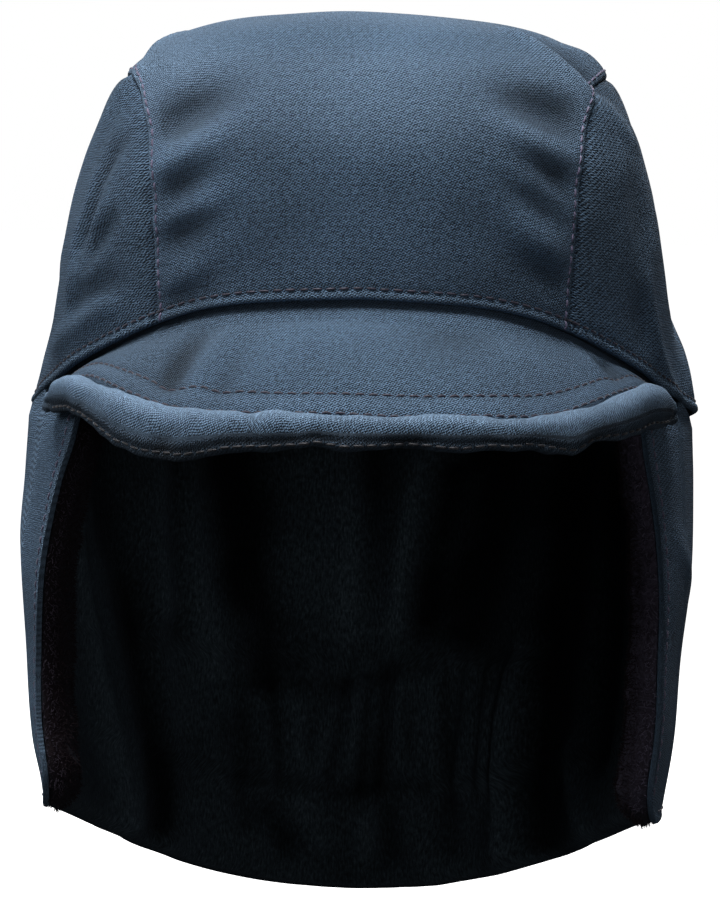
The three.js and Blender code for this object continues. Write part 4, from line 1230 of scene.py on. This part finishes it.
inFlap = flapSet["stitchIn"]
stitchRows("flapStitches", [flapRow(inFlap), flapSideRow(inFlap, -1), flapSideRow(inFlap, 1)], paleThread)
napeRows = [napeRow(napeSet["top"] - 2), napeRow(napeSet["bottom"] + 2)]
stitchRows("napeStitches", napeRows, paleThread, 3.0, 2.2)
stitchRows("seamStitches", [seamRow(-1), seamRow(1)], paleThread, 3.1, 2.3)
stitchRows("crownEdgeStitches", [edgeRow()], darkThread)
stitchRows("peakStitches", [peakRow(peakSet["rowIn"], 0.93), peakRow(0.6, 0.9)], darkThread)
stitchRows("rimStitches", [rimRow(-38)], rimThread)
print("stitches made")


# plush, set over the flap's front edges by geometry nodes
plushSet = {
    "density": 1.7, "length": 1.2, "radius": 0.15, "lean": 0.55, "seed": 11, "clump": 520.0,
    "root": -0.15, "bend": 0.6, "taper": -0.6, "sizeMin": 0.65, "sizeMax": 1.2,
    "dark": ((0.007, 0.0045, 0.006, 1), (0.042, 0.030, 0.037, 1)),
    "pale": ((0.045, 0.040, 0.062, 1), (0.24, 0.215, 0.31, 1)),
    "looks": {"Roughness": 0.9, "Specular IOR Level": 0.1},
}
plushValues = {
    "Density": plushSet["density"] / mm**2, "Length": plushSet["length"] * mm,
    "Radius": plushSet["radius"] * mm, "Lean": plushSet["lean"],
}


def plushMaterial():
    material, tree = newMaterial("plushEdge")
    clump = noiseNode(tree, objectPlace(tree), plushSet["clump"])
    dark, pale = (mixColour(tree, clump, *plushSet[tone]) for tone in ("dark", "pale"))
    setShader(tree, plushSet["looks"], mixColour(tree, attributeNode(tree, "wearAndHighlight"), dark, pale))
    return material


def plushTree():
    tree, given = newTree("plushTufts", "Ground", plushValues, plushSet["seed"], "Pile", "Tufts")
    furry = addNode(tree, "GeometryNodeInputNamedAttribute", {"Name": "furry"}, data_type="FLOAT")
    density = mathNode(tree, "MULTIPLY", furry.outputs["Attribute"], given["Density"])
    inputs = {"Mesh": given["Ground"], "Density": density, "Seed": given["Seed"]}
    points = addNode(tree, "GeometryNodeDistributePointsOnFaces", inputs)
    # one hair, bent over to its tip
    line = shortLine(tree, given["Length"], "Z", (plushSet["root"], 1.0), 4)
    along = addNode(tree, "GeometryNodeSplineParameter").outputs["Factor"]
    bent = mathNode(tree, "MULTIPLY", mathNode(tree, "POWER", along, 2.0), given["Length"])
    curled = moved(tree, line, "X", mathNode(tree, "MULTIPLY", bent, plushSet["bend"]))
    taper = mathNode(tree, "MULTIPLY_ADD", along, plushSet["taper"], 1.0)
    hair = swept(tree, curled, given["Radius"], 3, {"Scale": taper})
    # each hair leans its own way
    back = mathNode(tree, "MULTIPLY", given["Lean"], -1.0)
    low = addNode(tree, "ShaderNodeCombineXYZ", {"X": back, "Y": back}).outputs[0]
    ahead = {"X": given["Lean"], "Y": given["Lean"], "Z": 2 * math.pi}
    high = addNode(tree, "ShaderNodeCombineXYZ", ahead).outputs[0]
    lean = addNode(tree, "FunctionNodeRandomValue", {"Min": low, "Max": high}, data_type="FLOAT_VECTOR")
    sizes = {2: plushSet["sizeMin"], 3: plushSet["sizeMax"]}
    size = addNode(tree, "FunctionNodeRandomValue", sizes, data_type="FLOAT").outputs[1]
    turned = turnedBy(tree, points.outputs["Rotation"], lean.outputs["Value"])
    return setOut(tree, points.outputs["Points"], hair, turned, size, given["Pile"])


def plushTufts():
    mesh = flapLining.data.copy()
    mesh.name = "plushTufts"
    for name, parts in plushEdges.items():
        layer = mesh.attributes.get(name) or mesh.attributes.new(name, "FLOAT", "POINT")
        layer.data.foreach_set("value", np.concatenate(parts).astype(np.float32))
    piece = bpy.data.objects.new("plushTufts", mesh)
    bpy.context.scene.collection.objects.link(piece)
    plush = plushMaterial()
    values = {**plushValues, "Seed": plushSet["seed"], "Pile": plush}
    piece = finish(applyTree(piece, plushTree(), values), plush, "pile")
    print("plush faces:", len(piece.data.polygons))


plushTufts()


# stage, light and camera
def paleMaterial():
    material, tree = newMaterial("paleStage")
    pale = (stageSet["pale"],) * 3 + (1,)
    looks = {"Base Color": pale, "Roughness": 0.9, "Specular IOR Level": 0.1}
    setShader(tree, {**looks, "Emission Color": (1, 1, 1, 1), "Emission Strength": stageSet["glow"]})
    return material


def makeStage():
    radius, height, sides = stageSet["radius"], stageSet["floorHeight"], stageSet["sides"]
    angles = np.linspace(0, 2 * math.pi, sides, endpoint=False)
    mesh = bpy.data.meshes.new("floor")
    ring = [(radius * math.cos(a), radius * math.sin(a), height) for a in angles]
    mesh.from_pydata(ring, [], [list(range(sides))])
    floor = bpy.data.objects.new("floor", mesh)
    bpy.context.scene.collection.objects.link(floor)
    mesh.materials.append(paleMaterial())
    floor.visible_diffuse, floor.visible_glossy = False, False  # the pale floor throws no light up into the cap


def makeLights():
    for name, place, size, watts in lightSet:
        data = bpy.data.lights.new(name, "AREA")
        data.shape, data.size, data.energy = "SQUARE", size, watts
        lamp = bpy.data.objects.new(name, data)
        lamp.location = place
        towards = Vector(stageSet["lampsAimAt"]) - Vector(place)
        lamp.rotation_euler = towards.to_track_quat("-Z", "Y").to_euler()
        bpy.context.scene.collection.objects.link(lamp)
    world = bpy.data.worlds.new("paleRoom")
    world.use_nodes = True
    bpy.context.scene.world = world
    tree = world.node_tree
    sky = tree.nodes["Background"]
    sky.inputs["Strength"].default_value = stageSet["worldLight"]
    sky.inputs["Color"].default_value = stageSet["sky"]
    seen = addNode(tree, "ShaderNodeBackground", {"Color": (1, 1, 1, 1), "Strength": stageSet["worldSeen"]})
    isSeen = addNode(tree, "ShaderNodeLightPath").outputs["Is Camera Ray"]
    pick = addNode(tree, "ShaderNodeMixShader", {0: isSeen, 1: sky.outputs[0], 2: seen.outputs[0]})
    tree.links.new(pick.outputs[0], tree.nodes["World Output"].inputs["Surface"])


def makeCamera():
    data = bpy.data.cameras.new("photoCamera")
    data.lens, data.clip_end = cameraSet["lens"], 50
    camera = bpy.data.objects.new("photoCamera", data)
    tilt = math.radians(cameraSet["elevation"])
    away = Vector((0, -math.cos(tilt), math.sin(tilt))) * cameraSet["distance"]
    camera.location = Vector(cameraSet["aim"]) + away
    roll = Matrix.Rotation(math.radians(cameraSet["roll"]), 4, "Z")
    camera.rotation_euler = ((-away).to_track_quat("-Z", "Y").to_matrix().to_4x4() @ roll).to_euler()
    bpy.context.scene.collection.objects.link(camera)
    bpy.context.scene.camera = camera


makeStage()
makeLights()
makeCamera()
bpy.context.scene.view_settings.view_transform = "Standard"
